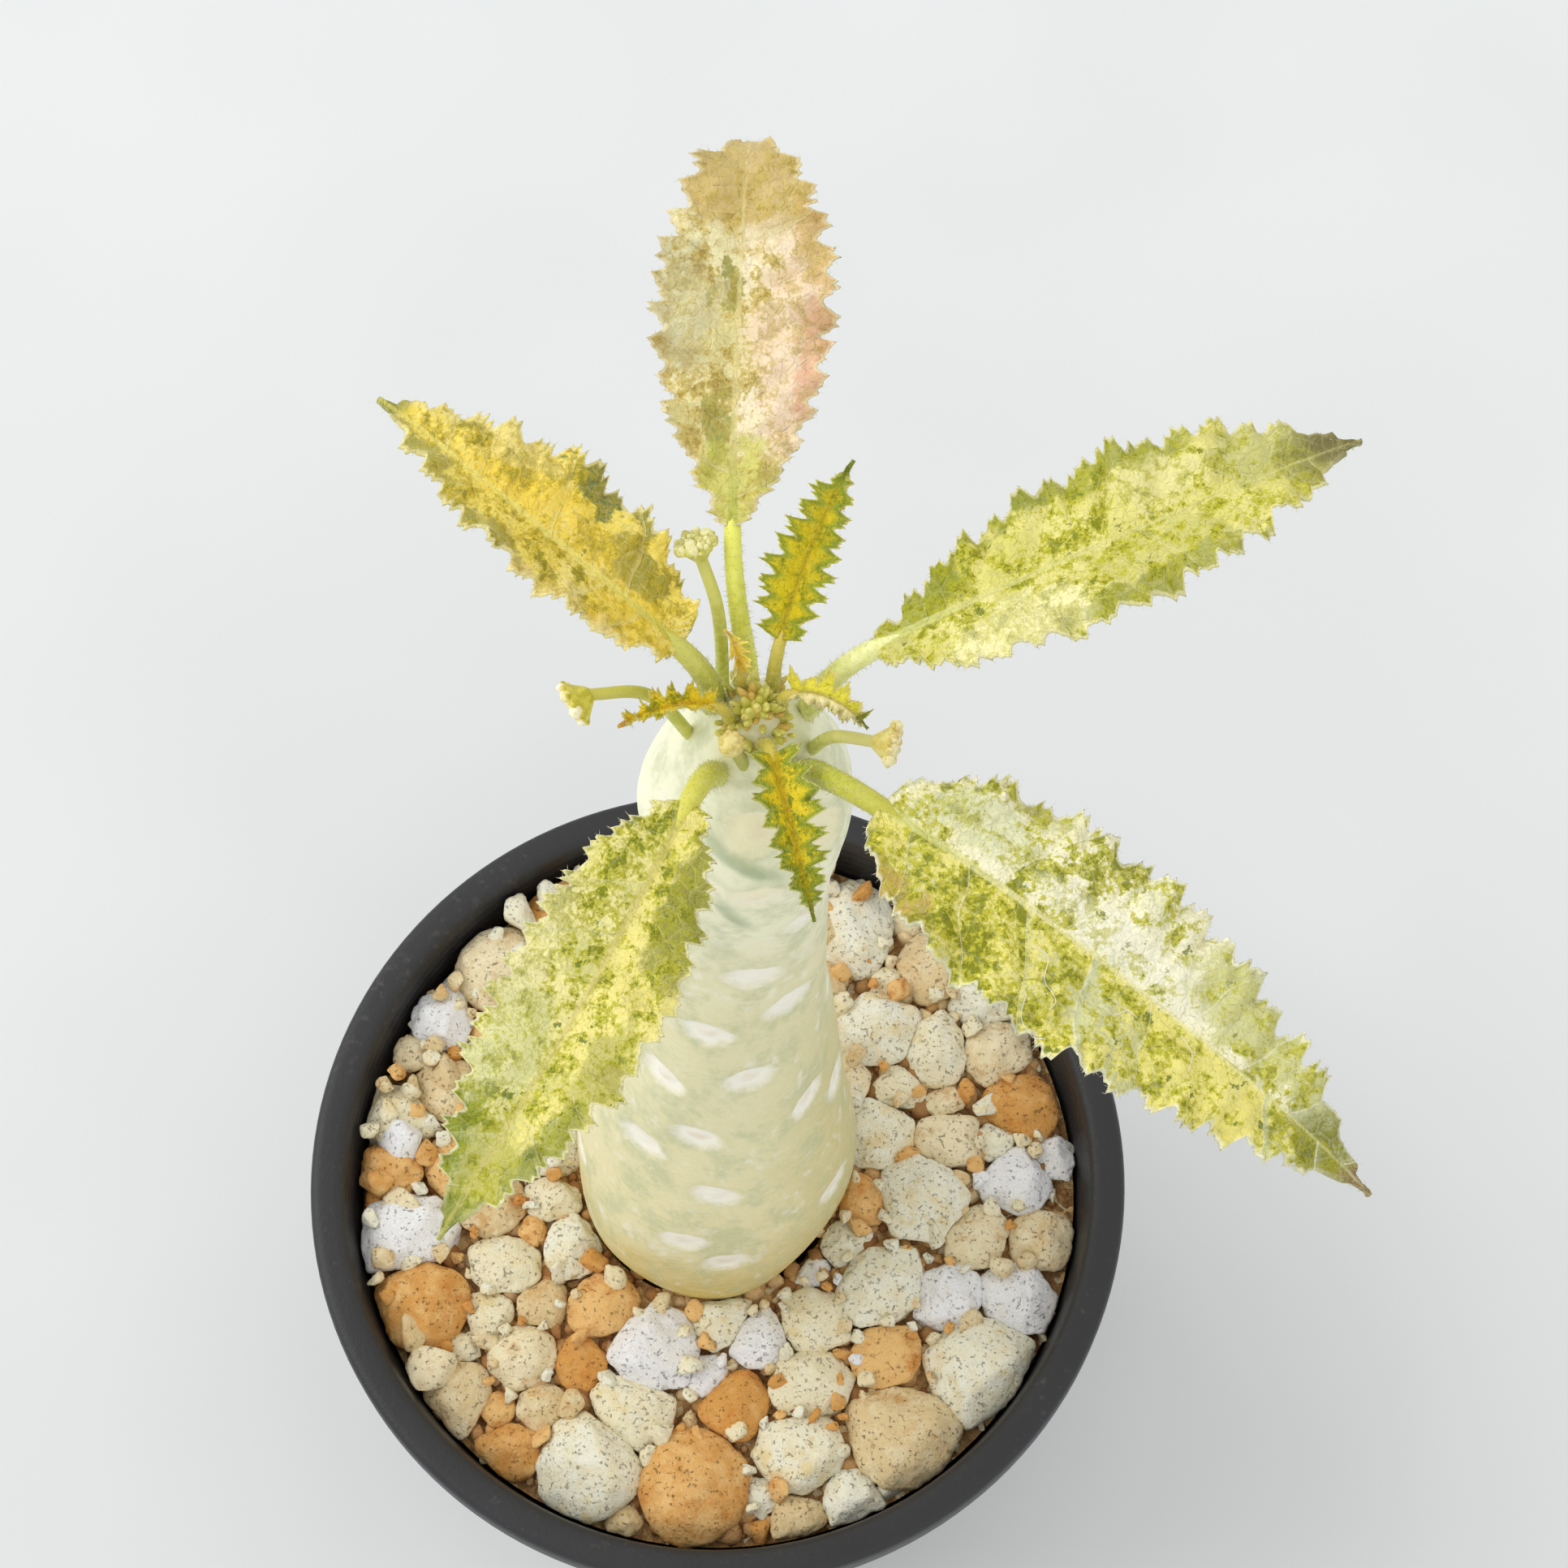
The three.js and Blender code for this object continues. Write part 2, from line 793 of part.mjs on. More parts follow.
// Blade and petiole in one. The petiole thins out into the foot of the blade.
function leafSolid(leaf, toothDepth, stemRoom) {
  const { petiole, rib } = leafCurves(leaf);
  const points = petiole.getPoints(petioleSteps);
  const [atRoot, atBlade, inBlade] = petioleTaper;
  const radii = points.map((_, i) => leaf.petiole * (atRoot + ((atBlade - atRoot) * i) / petioleSteps));
  points.push(rib.getPointAt(petioleReach));
  radii.push(inBlade * leaf.petiole);
  const stalk = solidOf(tube(points, radii, petioleSides));
  const blade = solidOf(bladeGeometry(leaf, rib, toothDepth));
  return mainBody(stalk.add(blade).subtract(stemRoom));
}

// A disc of tight florets on a tapering cup, at the end of its stalk.
function flowerHeadSolid(head, stemRoom) {
  const random = randomFrom(head.seed);
  const root = rootPoint(head.root);
  const [middle, end] = head.stalk.map(fromTip);
  const path = new THREE.CatmullRomCurve3([root, middle, end]);
  const radii = new Array(stalkSteps + 1).fill(stalkRadius);
  const stalk = tube(path.getPoints(stalkSteps), radii, stalkSides);
  const faces = new THREE.Vector3(...head.faces).normalize();
  const turn = new THREE.Quaternion().setFromUnitVectors(new THREE.Vector3(0, 1, 0), faces);
  const place = (geometry) => geometry.applyQuaternion(turn).translate(end.x, end.y, end.z);
  const cup = [
    [0, -0.3],
    [stalkRadius, -0.25],
    [0.75 * head.radius, 0.45 * discDepth],
    [head.radius, 0.75 * discDepth],
    [0.9 * head.radius, discDepth],
    [0, discDepth],
  ].map(([radius, height]) => new THREE.Vector2(radius, height));
  let solid = solidOf(stalk).add(solidOf(place(new THREE.LatheGeometry(cup, discSides))));
  for (let k = 0; k < floretCount; k++) {
    const distance = head.radius * Math.sqrt((k + 0.5) / floretCount);
    const angle = k * goldenAngle;
    const floret = new THREE.OctahedronGeometry(floretRadius * (0.9 + 0.3 * random()), 0);
    floret.translate(distance * Math.cos(angle), discDepth, distance * Math.sin(angle));
    solid = solid.add(solidOf(place(floret)));
  }
  return mainBody(solid.subtract(stemRoom));
}

function budSolid(stemRoom) {
  const centre = fromTip(budCentre);
  const stalk = tube([rootPoint(budRoot), centre], [budStalkRadius, budStalkRadius], stalkSides);
  const ball = new THREE.IcosahedronGeometry(budRadius, 1);
  ball.translate(centre.x, centre.y, centre.z);
  return mainBody(solidOf(stalk).add(solidOf(ball)).subtract(stemRoom));
}

function crownBudsSolid(stemRoom) {
  const random = randomFrom(crownSeed);
  const core = new THREE.IcosahedronGeometry(crownCoreRadius, 0);
  core.translate(stemTip.x, stemTip.y, stemTip.z);
  let solid = solidOf(core);
  for (let k = 0; k < crownBudCount; k++) {
    const distance = crownRadius * Math.sqrt((k + 0.4) / crownBudCount);
    const turn = k * goldenAngle;
    const bud = new THREE.OctahedronGeometry(crownBudRadius, 0);
    const length = crownBudLength * (0.8 + 0.4 * random());
    bud.scale(1, 1, length / crownBudRadius);
    bud.rotateY(0.35 * distance);
    bud.rotateZ(turn);
    bud.translate(
      stemTip.x + distance * Math.cos(turn),
      stemTip.y + distance * Math.sin(turn),
      stemTip.z + 0.5 - 0.25 * distance,
    );
    solid = solid.add(solidOf(bud));
  }
  return mainBody(solid.subtract(stemRoom));
}

const materials = {
  pot: new THREE.MeshStandardMaterial({ color: 0x1c1d1f, roughness: 0.55, metalness: 0 }),
  soil: new THREE.MeshStandardMaterial({ color: 0xc9a877, roughness: 0.95, metalness: 0 }),
  stem: new THREE.MeshStandardMaterial({ color: 0xc6c9a6, roughness: 0.6, metalness: 0 }),
  leaf: new THREE.MeshStandardMaterial({ color: 0xb9bf5c, roughness: 0.5, metalness: 0 }),
  youngLeaf: new THREE.MeshStandardMaterial({ color: 0x9a8d1c, roughness: 0.5, metalness: 0 }),
  flower: new THREE.MeshStandardMaterial({ color: 0xc9b94f, roughness: 0.6, metalness: 0 }),
  bud: new THREE.MeshStandardMaterial({ color: 0x6e6a2a, roughness: 0.65, metalness: 0 }),
};

const plant = new THREE.Group();

function addPiece(name, solid, material) {
  const mesh = new THREE.Mesh(geometryOf(solid), material);
  mesh.name = name;
  plant.add(mesh);
}

const stemRoom = stemBody(seatGap);
addPiece("pot", potSolid(), materials.pot);
addPiece("soil", soilSolid(stemRoom), materials.soil);
addPiece("stem", stemSolid(), materials.stem);
for (const [name, leaf] of Object.entries(largeLeaves)) {
  addPiece(name, leafSolid(leaf, largeToothDepth, stemRoom), materials.leaf);
}
for (const [name, leaf] of Object.entries(youngLeaves)) {
  addPiece(name, leafSolid(leaf, youngToothDepth, stemRoom), materials.youngLeaf);
}
for (const [name, head] of Object.entries(flowerHeads)) {
  addPiece(name, flowerHeadSolid(head, stemRoom), materials.flower);
}
addPiece("flower_bud", budSolid(stemRoom), materials.flower);
addPiece("crown_buds", crownBudsSolid(stemRoom), materials.bud);

export default plant;
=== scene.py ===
# %% [markdown]
# # A potted dorstenia, dressed piece by piece
#
# The real thing is a small caudex plant: a fat pale stem in a black nursery pot of coarse gravel, with
# a tuft of crisped, mottled leaves and a few stalked flower heads at its tip. Its solids are already
# made. Here each solid gets a finer piece in its place, with veins, teeth, pores, hairs and colour.
# Everything is worked out in millimetres, with +Z up and the front of the plant facing -Y, and each
# finished mesh is scaled to metres at the end.

# %% Load the solids
import math
import bpy
import numpy as np
from mathutils import Matrix, Vector


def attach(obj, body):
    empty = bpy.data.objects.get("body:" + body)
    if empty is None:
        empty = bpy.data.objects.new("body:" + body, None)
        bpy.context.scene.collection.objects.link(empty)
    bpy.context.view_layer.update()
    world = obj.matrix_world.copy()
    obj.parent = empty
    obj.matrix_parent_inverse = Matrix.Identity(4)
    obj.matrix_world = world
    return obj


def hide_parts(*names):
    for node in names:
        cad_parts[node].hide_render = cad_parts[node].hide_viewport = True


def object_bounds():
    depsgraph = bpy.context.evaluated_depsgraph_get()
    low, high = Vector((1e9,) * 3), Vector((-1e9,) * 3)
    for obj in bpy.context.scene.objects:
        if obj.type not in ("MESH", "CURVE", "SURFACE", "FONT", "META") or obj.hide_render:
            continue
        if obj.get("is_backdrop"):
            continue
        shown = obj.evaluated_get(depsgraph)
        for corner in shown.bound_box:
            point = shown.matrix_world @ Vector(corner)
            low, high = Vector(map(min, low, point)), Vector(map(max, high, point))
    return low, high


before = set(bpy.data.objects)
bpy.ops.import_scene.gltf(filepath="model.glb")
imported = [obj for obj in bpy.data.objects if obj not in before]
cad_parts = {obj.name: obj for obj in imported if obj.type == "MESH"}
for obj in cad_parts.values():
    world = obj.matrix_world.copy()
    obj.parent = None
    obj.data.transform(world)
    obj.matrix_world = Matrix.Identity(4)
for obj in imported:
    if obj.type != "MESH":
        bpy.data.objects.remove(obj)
solid_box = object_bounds()
scene = bpy.context.scene
MM = 0.001


def in_millimetres(box):
    return [tuple(round(value / MM, 1) for value in corner) for corner in box]


print("solids:", len(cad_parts), "box:", in_millimetres(solid_box))

# %% [markdown]
# ## Chance that repeats
#
# Gravel, teeth and hairs are irregular, but a model has to come out the same each time it is made. A
# generator with its own seed gives the same irregular numbers on every run, and it doesn't depend on
# what was made before it. The solids use the same rule, so the finer pieces land where they are.

# %% Repeatable random numbers
def random_from(seed):
    """Gives back a function that draws repeatable numbers from 0 to 1."""
    state = seed * 7919

    def draw():
        nonlocal state
        state = state * 48271 % 2147483647
        return state / 2147483647

    return draw


print("first draws:", [round(draw(), 3) for draw in [random_from(20)] * 3])

# %% [markdown]
# ## Short ways to add nodes
#
# Both the shapes and the finishes are made with nodes. Adding one by hand takes four steps: make it,
# set its options, set its values, link its sockets. One helper does all four, so that each finish below
# reads as a list of what it is made of. Colours are given as they look on a screen, from 0 to 255, and
# are turned into the linear values that light is reckoned in.

# %% Nodes and colours
def add(tree, kind, inputs=(), **settings):
    """Adds a node. inputs maps its sockets to plain values, or to the nodes or sockets that feed them."""
    node = tree.nodes.new(kind)
    for key, value in settings.items():
        setattr(node, key, value)
    for key, value in dict(inputs).items():
        if isinstance(value, bpy.types.Node):
            value = value.outputs[0]
        if isinstance(value, bpy.types.NodeSocket):
            tree.links.new(value, node.inputs[key])
        else:
            node.inputs[key].default_value = value
    return node


def maths(tree, operation, *values):
    """One arithmetic node on up to three values or sockets."""
    return add(tree, "ShaderNodeMath", dict(enumerate(values)), operation=operation).outputs[0]


def times(tree, first, second):
    return maths(tree, "MULTIPLY", first, second)


def vectors(tree, operation, first, second):
    """One arithmetic node on two vectors, or, to scale, on a vector and a number."""
    key = "Scale" if operation == "SCALE" else 1
    return add(tree, "ShaderNodeVectorMath", {0: first, key: second}, operation=operation).outputs[0]


def parts(tree, vector):
    return add(tree, "ShaderNodeSeparateXYZ", {0: vector}).outputs[:3]


def smooth_step(tree, value, low, high, start=0.0, end=1.0):
    """Goes softly from start to end while a value goes from low to high."""
    inputs = {0: value, 1: low, 2: high, 3: start, 4: end}
    return add(tree, "ShaderNodeMapRange", inputs, interpolation_type="SMOOTHSTEP").outputs[0]


def colour(red, green, blue):
    def linear(value):
        value /= 255
        return value / 12.92 if value <= 0.04045 else ((value + 0.055) / 1.055) ** 2.4

    return (linear(red), linear(green), linear(blue), 1)


# %% [markdown]
# A finish is one material. This small class keeps the calls short: a place on the piece in millimetres,
# soft clouds, cells, a step between two values, and a mix of two colours.

# %% A finish under construction
class Finish:
    """A material being built, with short calls for the nodes that every finish needs."""

    def __init__(self, name, roughness=0.5, specular=0.5):
        self.material = bpy.data.materials.new(name)
        self.material.use_nodes = True
        self.tree = self.material.node_tree
        self.shader = self.tree.nodes["Principled BSDF"]
        self.shader.inputs["Roughness"].default_value = roughness
        self.shader.inputs["Specular IOR Level"].default_value = specular
        place = add(self.tree, "ShaderNodeTexCoord").outputs["Object"]
        self.place = vectors(self.tree, "SCALE", place, 1 / MM)

    def maths(self, operation, *values):
        return maths(self.tree, operation, *values)

    def times(self, first, second):
        return times(self.tree, first, second)

    def stray(self, value, reach, start):
        """Moves start up or down with a value from 0 to 1, as far as reach."""
        return self.maths("MULTIPLY_ADD", self.maths("SUBTRACT", value, 0.5), reach, start)

    def shifted(self, where, offset=(0, 0, 0), scale=(1, 1, 1)):
        return add(self.tree, "ShaderNodeMapping", {0: where, "Location": offset, "Scale": scale}).outputs[0]

    def noise(self, size, detail=3, rough=0.55, where=None):
        """Soft clouds about size millimetres across, from 0 to 1."""
        inputs = {"Vector": where or self.place, "Scale": 1 / size, "Detail": detail, "Roughness": rough}
        return add(self.tree, "ShaderNodeTexNoise", inputs).outputs[0]

    def cells(self, size, kind="F1", where=None, output=0):
        """Irregular cells about size millimetres across: their distance, or with output 1 their colour."""
        inputs = {"Vector": where or self.place, "Scale": 1 / size}
        return add(self.tree, "ShaderNodeTexVoronoi", inputs, feature=kind).outputs[output]

    def step(self, value, low, high):
        """0 under low, 1 over high, and soft in between. It falls where low is above high."""
        falls = low > high
        return smooth_step(self.tree, value, min(low, high), max(low, high), float(falls), float(not falls))

    def mix(self, factor, *two):
        """From one colour to another. Either is a socket, or red, green and blue from 0 to 255."""
        first, second = (colour(*tint) if isinstance(tint, tuple) else tint for tint in two)
        return add(self.tree, "ShaderNodeMix", {0: factor, 6: first, 7: second}, data_type="RGBA").outputs[2]

    def over(self, tint, share, rgb, strength=1.0):
        """Lays a colour over a tint where share is 1, as strongly as strength says."""
        return self.mix(self.times(share, strength), tint, rgb)

    def dice(self, value):
        """Three random numbers for each whole number."""
        drawn = add(self.tree, "ShaderNodeTexWhiteNoise", {"W": value}, noise_dimensions="1D")
        return self.parts(drawn.outputs["Color"])

    def attribute(self, name, output="Fac"):
        return add(self.tree, "ShaderNodeAttribute", attribute_name=name).outputs[output]

    def parts(self, vector):
        return parts(self.tree, vector)

    def bump(self, height, depth):
        """Relief depth millimetres deep where height runs from 0 to 1."""
        inputs = {"Height": height, "Distance": depth * MM, "Strength": 1}
        return add(self.tree, "ShaderNodeBump", inputs).outputs[0]

    def done(self, **sockets):
        for key, value in sockets.items():
            self.tree.links.new(value, self.shader.inputs[key.replace("_", " ")])
        return self.material


# %% [markdown]
# ## Growing a mesh with a geometry tree
#
# A geometry tree is a recipe for a shape. It takes a start mesh and some named values, and gives back
# the shape. `new_tree` makes an empty recipe with its named inputs. `grow` runs a recipe once and keeps
# the result as a plain mesh, so that nothing live is left on the piece. A value is handed to a recipe by
# the identifier of its socket, because names may repeat and identifiers don't.

# %% Recipes and how they are run
SOCKETS = {float: "NodeSocketFloat", int: "NodeSocketInt", tuple: "NodeSocketVector"}
SOCKETS.update({"material": "NodeSocketMaterial", "object": "NodeSocketObject"})


def new_tree(name, **values):
    """An empty geometry tree. Each named value becomes an input, with that value as its default."""
    tree = bpy.data.node_groups.new(name, "GeometryNodeTree")
    tree.interface.new_socket(name="Geometry", in_out="INPUT", socket_type="NodeSocketGeometry")
    tree.interface.new_socket(name="Geometry", in_out="OUTPUT", socket_type="NodeSocketGeometry")
    for key, value in values.items():
        socket = tree.interface.new_socket(
            name=key, in_out="INPUT", socket_type=SOCKETS.get(value) or SOCKETS[type(value)]
        )
        if not isinstance(value, str):
            socket.default_value = value
    return tree, add(tree, "NodeGroupInput").outputs


def end_tree(tree, geometry, given):
    """The recipe's last steps: real geometry, smooth shading and the material."""
    real = add(tree, "GeometryNodeRealizeInstances", {0: geometry})
    smooth = add(tree, "GeometryNodeSetShadeSmooth", {0: real})
    dressed = add(tree, "GeometryNodeSetMaterial", {0: smooth, "Material": given["Material"]})
    add(tree, "NodeGroupOutput", {0: dressed})
    return tree


def mesh_from(name, points, faces=(), edges=(), **attributes):
    """A mesh from points, with one value a point for each named attribute."""
    mesh = bpy.data.meshes.new(name)
    mesh.from_pydata([tuple(point) for point in points], edges, faces)
    for key, values in attributes.items():
        values = np.asarray(values, dtype=np.float32)
        kind = "FLOAT_VECTOR" if values.ndim == 2 else "FLOAT"
        layer = mesh.attributes.new(key, kind, "POINT")
        layer.data.foreach_set("vector" if values.ndim == 2 else "value", values.ravel())
    return mesh


def placed_object(name, data):
    """Puts a mesh, a light or a camera into the scene."""
    thing = bpy.data.objects.new(name, data)
    scene.collection.objects.link(thing)
    return thing


def grow(name, tree, start, **values):
    """Runs a geometry tree on a start mesh, and gives back the result as a plain mesh."""
    holder = placed_object("holder", start)
    modifier = holder.modifiers.new("recipe", "NODES")
    modifier.node_group = tree
    for item in tree.interface.items_tree:
        if item.in_out == "INPUT" and item.name in values:
            modifier[item.identifier] = values[item.name]
    graph = bpy.context.evaluated_depsgraph_get()
    mesh = bpy.data.meshes.new_from_object(holder.evaluated_get(graph), depsgraph=graph)
    mesh.name = name
    bpy.data.objects.remove(holder)
    bpy.data.meshes.remove(start)
    return mesh


# %% [markdown]
# ## A finished piece
#
# A finished piece is one or more meshes joined into one object at the origin. It takes the place of the
# solid it stands for, which is hidden, and hangs from the body that carries it. The signed volume of a closed
# mesh is positive when its faces look outwards, so it is measured and the faces are turned if need be.

# %% Finishing a piece
def volume(mesh):
    """Signed volume of a closed mesh, from its triangles."""
    mesh.calc_loop_triangles()
    points = np.empty(3 * len(mesh.vertices))
    mesh.vertices.foreach_get("co", points)
    corners = np.empty(3 * len(mesh.loop_triangles), dtype=np.int64)
    mesh.loop_triangles.foreach_get("vertices", corners)
    a, b, c = np.moveaxis(points.reshape(-1, 3)[corners.reshape(-1, 3)], 1, 0)
    return float((a * np.cross(b, c)).sum() / 6)


def outwards(mesh):
    if volume(mesh) < 0:
        mesh.flip_normals()
    return mesh


def finish_piece(name, meshes, node, crease=None):
    """Joins meshes into one object in metres that stands for a solid of the same plant."""
    objects = []
    for mesh in meshes:
        outwards(mesh)
        mesh.transform(Matrix.Scale(MM, 4))
        objects.append(placed_object(name, mesh))
    with bpy.context.temp_override(
        active_object=objects[0], object=objects[0],
        selected_objects=objects, selected_editable_objects=objects,
    ):
        if len(objects) > 1:
            bpy.ops.object.join()
    piece = objects[0]
    piece.name = piece.data.name = name
    if crease:
        piece.data.set_sharp_from_angle(angle=math.radians(crease))
    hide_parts(node)
    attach(piece, "root")
    piece.data.calc_loop_triangles()
    print(f"{name}: {len(piece.data.loop_triangles)} triangles")
    return piece


# %% [markdown]
# ## Camera, light and table
#
# The plant was looked at steeply from above, about 69 degrees down, from some 31 cm over the rim of the
# pot, with a lens of about 78 mm on a 36 mm frame. The light is that of a bright room: a large soft
# window high on the left, and pale walls all round. The table is plain and pale. Everything stays in
# focus here, since the part is looked at from every side.

# %% Camera, light and table
focal_pixels, photo_pixels = 4200, 1932
camera = placed_object("camera", bpy.data.cameras.new("camera"))
camera.data.sensor_width = 36
camera.data.lens = focal_pixels / photo_pixels * camera.data.sensor_width
camera.data.clip_start = 0.01
camera.location = Vector((6.1, -79.8, 371.1)) * MM
camera.rotation_euler = (math.radians(21.14), 0, 0)
scene.camera = camera
scene.view_settings.view_transform = "Standard"

world = bpy.data.worlds.new("room")
world.use_nodes = True
world.node_tree.nodes["Background"].inputs["Color"].default_value = (1, 1, 1, 1)
world.node_tree.nodes["Background"].inputs["Strength"].default_value = 0.84
scene.world = world


def window(name, place, size, power):
    """A soft square light that looks at the middle of the plant."""
    light = bpy.data.lights.new(name, "AREA")
    light.size = size
    light.energy = power
    holder = placed_object(name, light)
    holder.location = place
    aim = Vector((0, 0, 0.12)) - Vector(place)
    holder.rotation_euler = aim.to_track_quat("-Z", "Y").to_euler()


window("window", (-1.05, 0.3, 1.0), 1.2, 8.5)
window("far_wall", (0.6, -0.9, 0.9), 1.2, 1)


def table_finish():
    table = Finish("pale_table", roughness=0.6, specular=0.3)
    cloud = table.step(table.noise(60, detail=2), 0.3, 0.7)
    return table.done(Base_Color=table.mix(cloud, (226, 228, 228), (230, 232, 232)))


reach = 1500 * MM
corners = [(-reach, -reach, 0), (reach, -reach, 0), (reach, reach, 0), (-reach, reach, 0)]
table = placed_object("table", mesh_from("table", corners, faces=[(0, 1, 2, 3)]))
table.location.z = -0.2 * MM
table.data.materials.append(table_finish())
table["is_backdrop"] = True
print("camera", round(camera.data.lens, 1), "mm")

# %% [markdown]
# ## Anything round: an outline turned about an axis
#
# A pot, a bed of soil and the cup of a flower head are all turned shapes: an outline of radius against
# height, carried round an axis. One recipe makes them all. It lays a flat grid with one row for each
# point of the outline, reads the outline's point for that row, and turns it by its place in the row.
# Doubled points at the seam and the poles are merged, so that the surface is closed.

# %% The recipe for turned shapes
def turned_grid(tree, outline, sides):
    """Nodes that make a grid of the outline's points by sides, with the point and turn of each vertex."""
    count = add(tree, "GeometryNodeAttributeDomainSize", {0: outline}).outputs["Point Count"]
    around = maths(tree, "ADD", sides, 1)
    grid = add(tree, "GeometryNodeMeshGrid", {"Vertices X": count, "Vertices Y": around})
    index = add(tree, "GeometryNodeInputIndex")
    row = maths(tree, "FLOOR", maths(tree, "DIVIDE", maths(tree, "ADD", index.outputs[0], 0.5), around))
    column = maths(tree, "SUBTRACT", index.outputs[0], times(tree, row, around))
    turn = times(tree, maths(tree, "DIVIDE", column, sides), 2 * math.pi)
    inputs = {0: outline, "Value": add(tree, "GeometryNodeInputPosition"), "Index": row}
    point = add(tree, "GeometryNodeSampleIndex", inputs, data_type="FLOAT_VECTOR")
    radius, _, height = parts(tree, point)
    return grid, radius, height, turn


def polar(tree, radius, turn, height):
    x = times(tree, radius, maths(tree, "COSINE", turn))
    y = times(tree, radius, maths(tree, "SINE", turn))
    return add(tree, "ShaderNodeCombineXYZ", {0: x, 1: y, 2: height})


def turned_tree():
    tree, given = new_tree("turned_shape", Sides=96, Merge=0.002, Material="material")
    grid, radius, height, turn = turned_grid(tree, given["Geometry"], given["Sides"])
    placed = add(tree, "GeometryNodeSetPosition", {0: grid, "Position": polar(tree, radius, turn, height)})
    merged = add(tree, "GeometryNodeMergeByDistance", {0: placed, "Distance": given["Merge"]})
    return end_tree(tree, merged, given)


turned = turned_tree()


def outline_mesh(outline):
    """A chain of points from [radius, height] pairs, for a turned shape to start from."""
    points = [(radius, 0, height) for radius, height in outline]
    return mesh_from("outline", points, edges=[(i, i + 1) for i in range(len(points) - 1)])


def rounded(outline, radius, steps=5):
    """An outline with its inner corners rounded off, where a corner is longer than the radius."""
    result = [outline[0]]
    for before, corner, after in zip(outline, outline[1:], outline[2:]):
        before, corner, after = Vector(before), Vector(corner), Vector(after)
        reach = min(radius, (before - corner).length / 2.1, (after - corner).length / 2.1)
        start = corner + (before - corner).normalized() * reach
        end = corner + (after - corner).normalized() * reach
        for i in range(steps + 1):
            t = i / steps
            result.append(tuple((1 - t) ** 2 * start + 2 * t * (1 - t) * corner + t * t * end))
    return result + [outline[-1]]


# %% [markdown]
# ## The pot
#
# A nursery pot is blown or moulded in thin black plastic: a tapered wall, a thick lip and holes in the
# floor for water. It could be cut from a solid, but a turned outline says at once where each edge is.
# The holes are drilled by a second recipe that sets a ring of drills under the floor. Real edges are
# never sharp, so the outline's corners are rounded first.

# %% The pot's shape
pot_height, lip_radius, lip_width, lip_height = 66, 37.5, 3.2, 4.5
foot_radius, wall_thickness, floor_thickness = 27.5, 1.2, 1.6
drain_holes, drain_hole_radius, drain_ring_radius = 6, 3.0, 17.0


def inner_wall(height):
    """Inner radius of the pot at a height."""
    foot = foot_radius - wall_thickness
    return foot + (lip_radius - lip_width - foot) * height / pot_height


def cut_away(tree, geometry, tool):
    """The geometry without what the tool covers."""
    return add(tree, "GeometryNodeMeshBoolean", {"Mesh 1": geometry, "Mesh 2": tool}, operation="DIFFERENCE")


def copies(tree, points, shape, turn=(0, 0, 0), scale=(1, 1, 1)):
    """A copy of a shape on each point."""
    inputs = {0: points, "Instance": shape, "Rotation": turn, "Scale": scale}
    return add(tree, "GeometryNodeInstanceOnPoints", inputs)


def drilled_tree():
    tree, given = new_tree(
        "drilled_floor", Holes=6, Ring=17.0, Radius=3.0, Depth=6.0, Material="material"
    )
    ring = add(tree, "GeometryNodeMeshCircle", {"Vertices": given["Holes"], "Radius": given["Ring"]})
    drill = add(
        tree, "GeometryNodeMeshCylinder", {"Vertices": 32, "Radius": given["Radius"], "Depth": given["Depth"]}
    )
    drills = copies(tree, ring, drill.outputs["Mesh"])
    real = add(tree, "GeometryNodeRealizeInstances", {0: drills})
    return end_tree(tree, cut_away(tree, given["Geometry"], real), given)


def pot_finish():
    """Black plastic: fine grain, faint mould rings, and pale dust in random patches."""
    pot = Finish("black_plastic", roughness=0.5, specular=0.45)
    grain = pot.noise(0.35, detail=2)
    cloud = pot.noise(14, detail=3)
    dust = pot.step(pot.maths("ADD", pot.noise(0.9, detail=4), pot.times(cloud, 0.5)), 0.85, 1.15)
    tint = pot.mix(cloud, (33, 33, 35), (47, 47, 50))
    tint = pot.over(tint, dust, (118, 112, 100), 0.35)
    rough = pot.maths("ADD", 0.38, pot.times(cloud, 0.2))
    rings = add(
        pot.tree, "ShaderNodeTexWave", {0: pot.place, "Scale": 0.28, "Distortion": 0.6}, bands_direction="Z"
    ).outputs[1]
    relief = pot.maths("ADD", pot.times(grain, 0.5), pot.times(rings, 0.5))
    return pot.done(Base_Color=tint, Roughness=rough, Normal=pot.bump(relief, 0.08))


under_lip = pot_height - lip_height
pot_outline = [
    (0, 0),
    (foot_radius, 0),
    (inner_wall(under_lip) + wall_thickness, under_lip),
    (lip_radius, under_lip),
    (lip_radius, pot_height),
    (lip_radius - lip_width, pot_height),
    (inner_wall(floor_thickness), floor_thickness),
    (0, floor_thickness),
]
pot_mesh = grow("pot", turned, outline_mesh(rounded(pot_outline, 1.1)), Sides=144)
outwards(pot_mesh)
pot_mesh = grow(
    "pot", drilled_tree(), pot_mesh, Holes=drain_holes, Ring=drain_ring_radius,
    Radius=drain_hole_radius, Material=pot_finish(),
)
finish_piece("pot_dressed", [pot_mesh], "pot", crease=40)

# %% [markdown]
# ## The stem's outline
#
# The bed of soil has a hole for the stem, so the stem's outline comes first. It is a smooth curve
# through a few pairs of radius and height, from the foot deep in the mix to the domed tip. The curve is
# the same one that the solid has: each stretch leans on the two points before and the two after it.

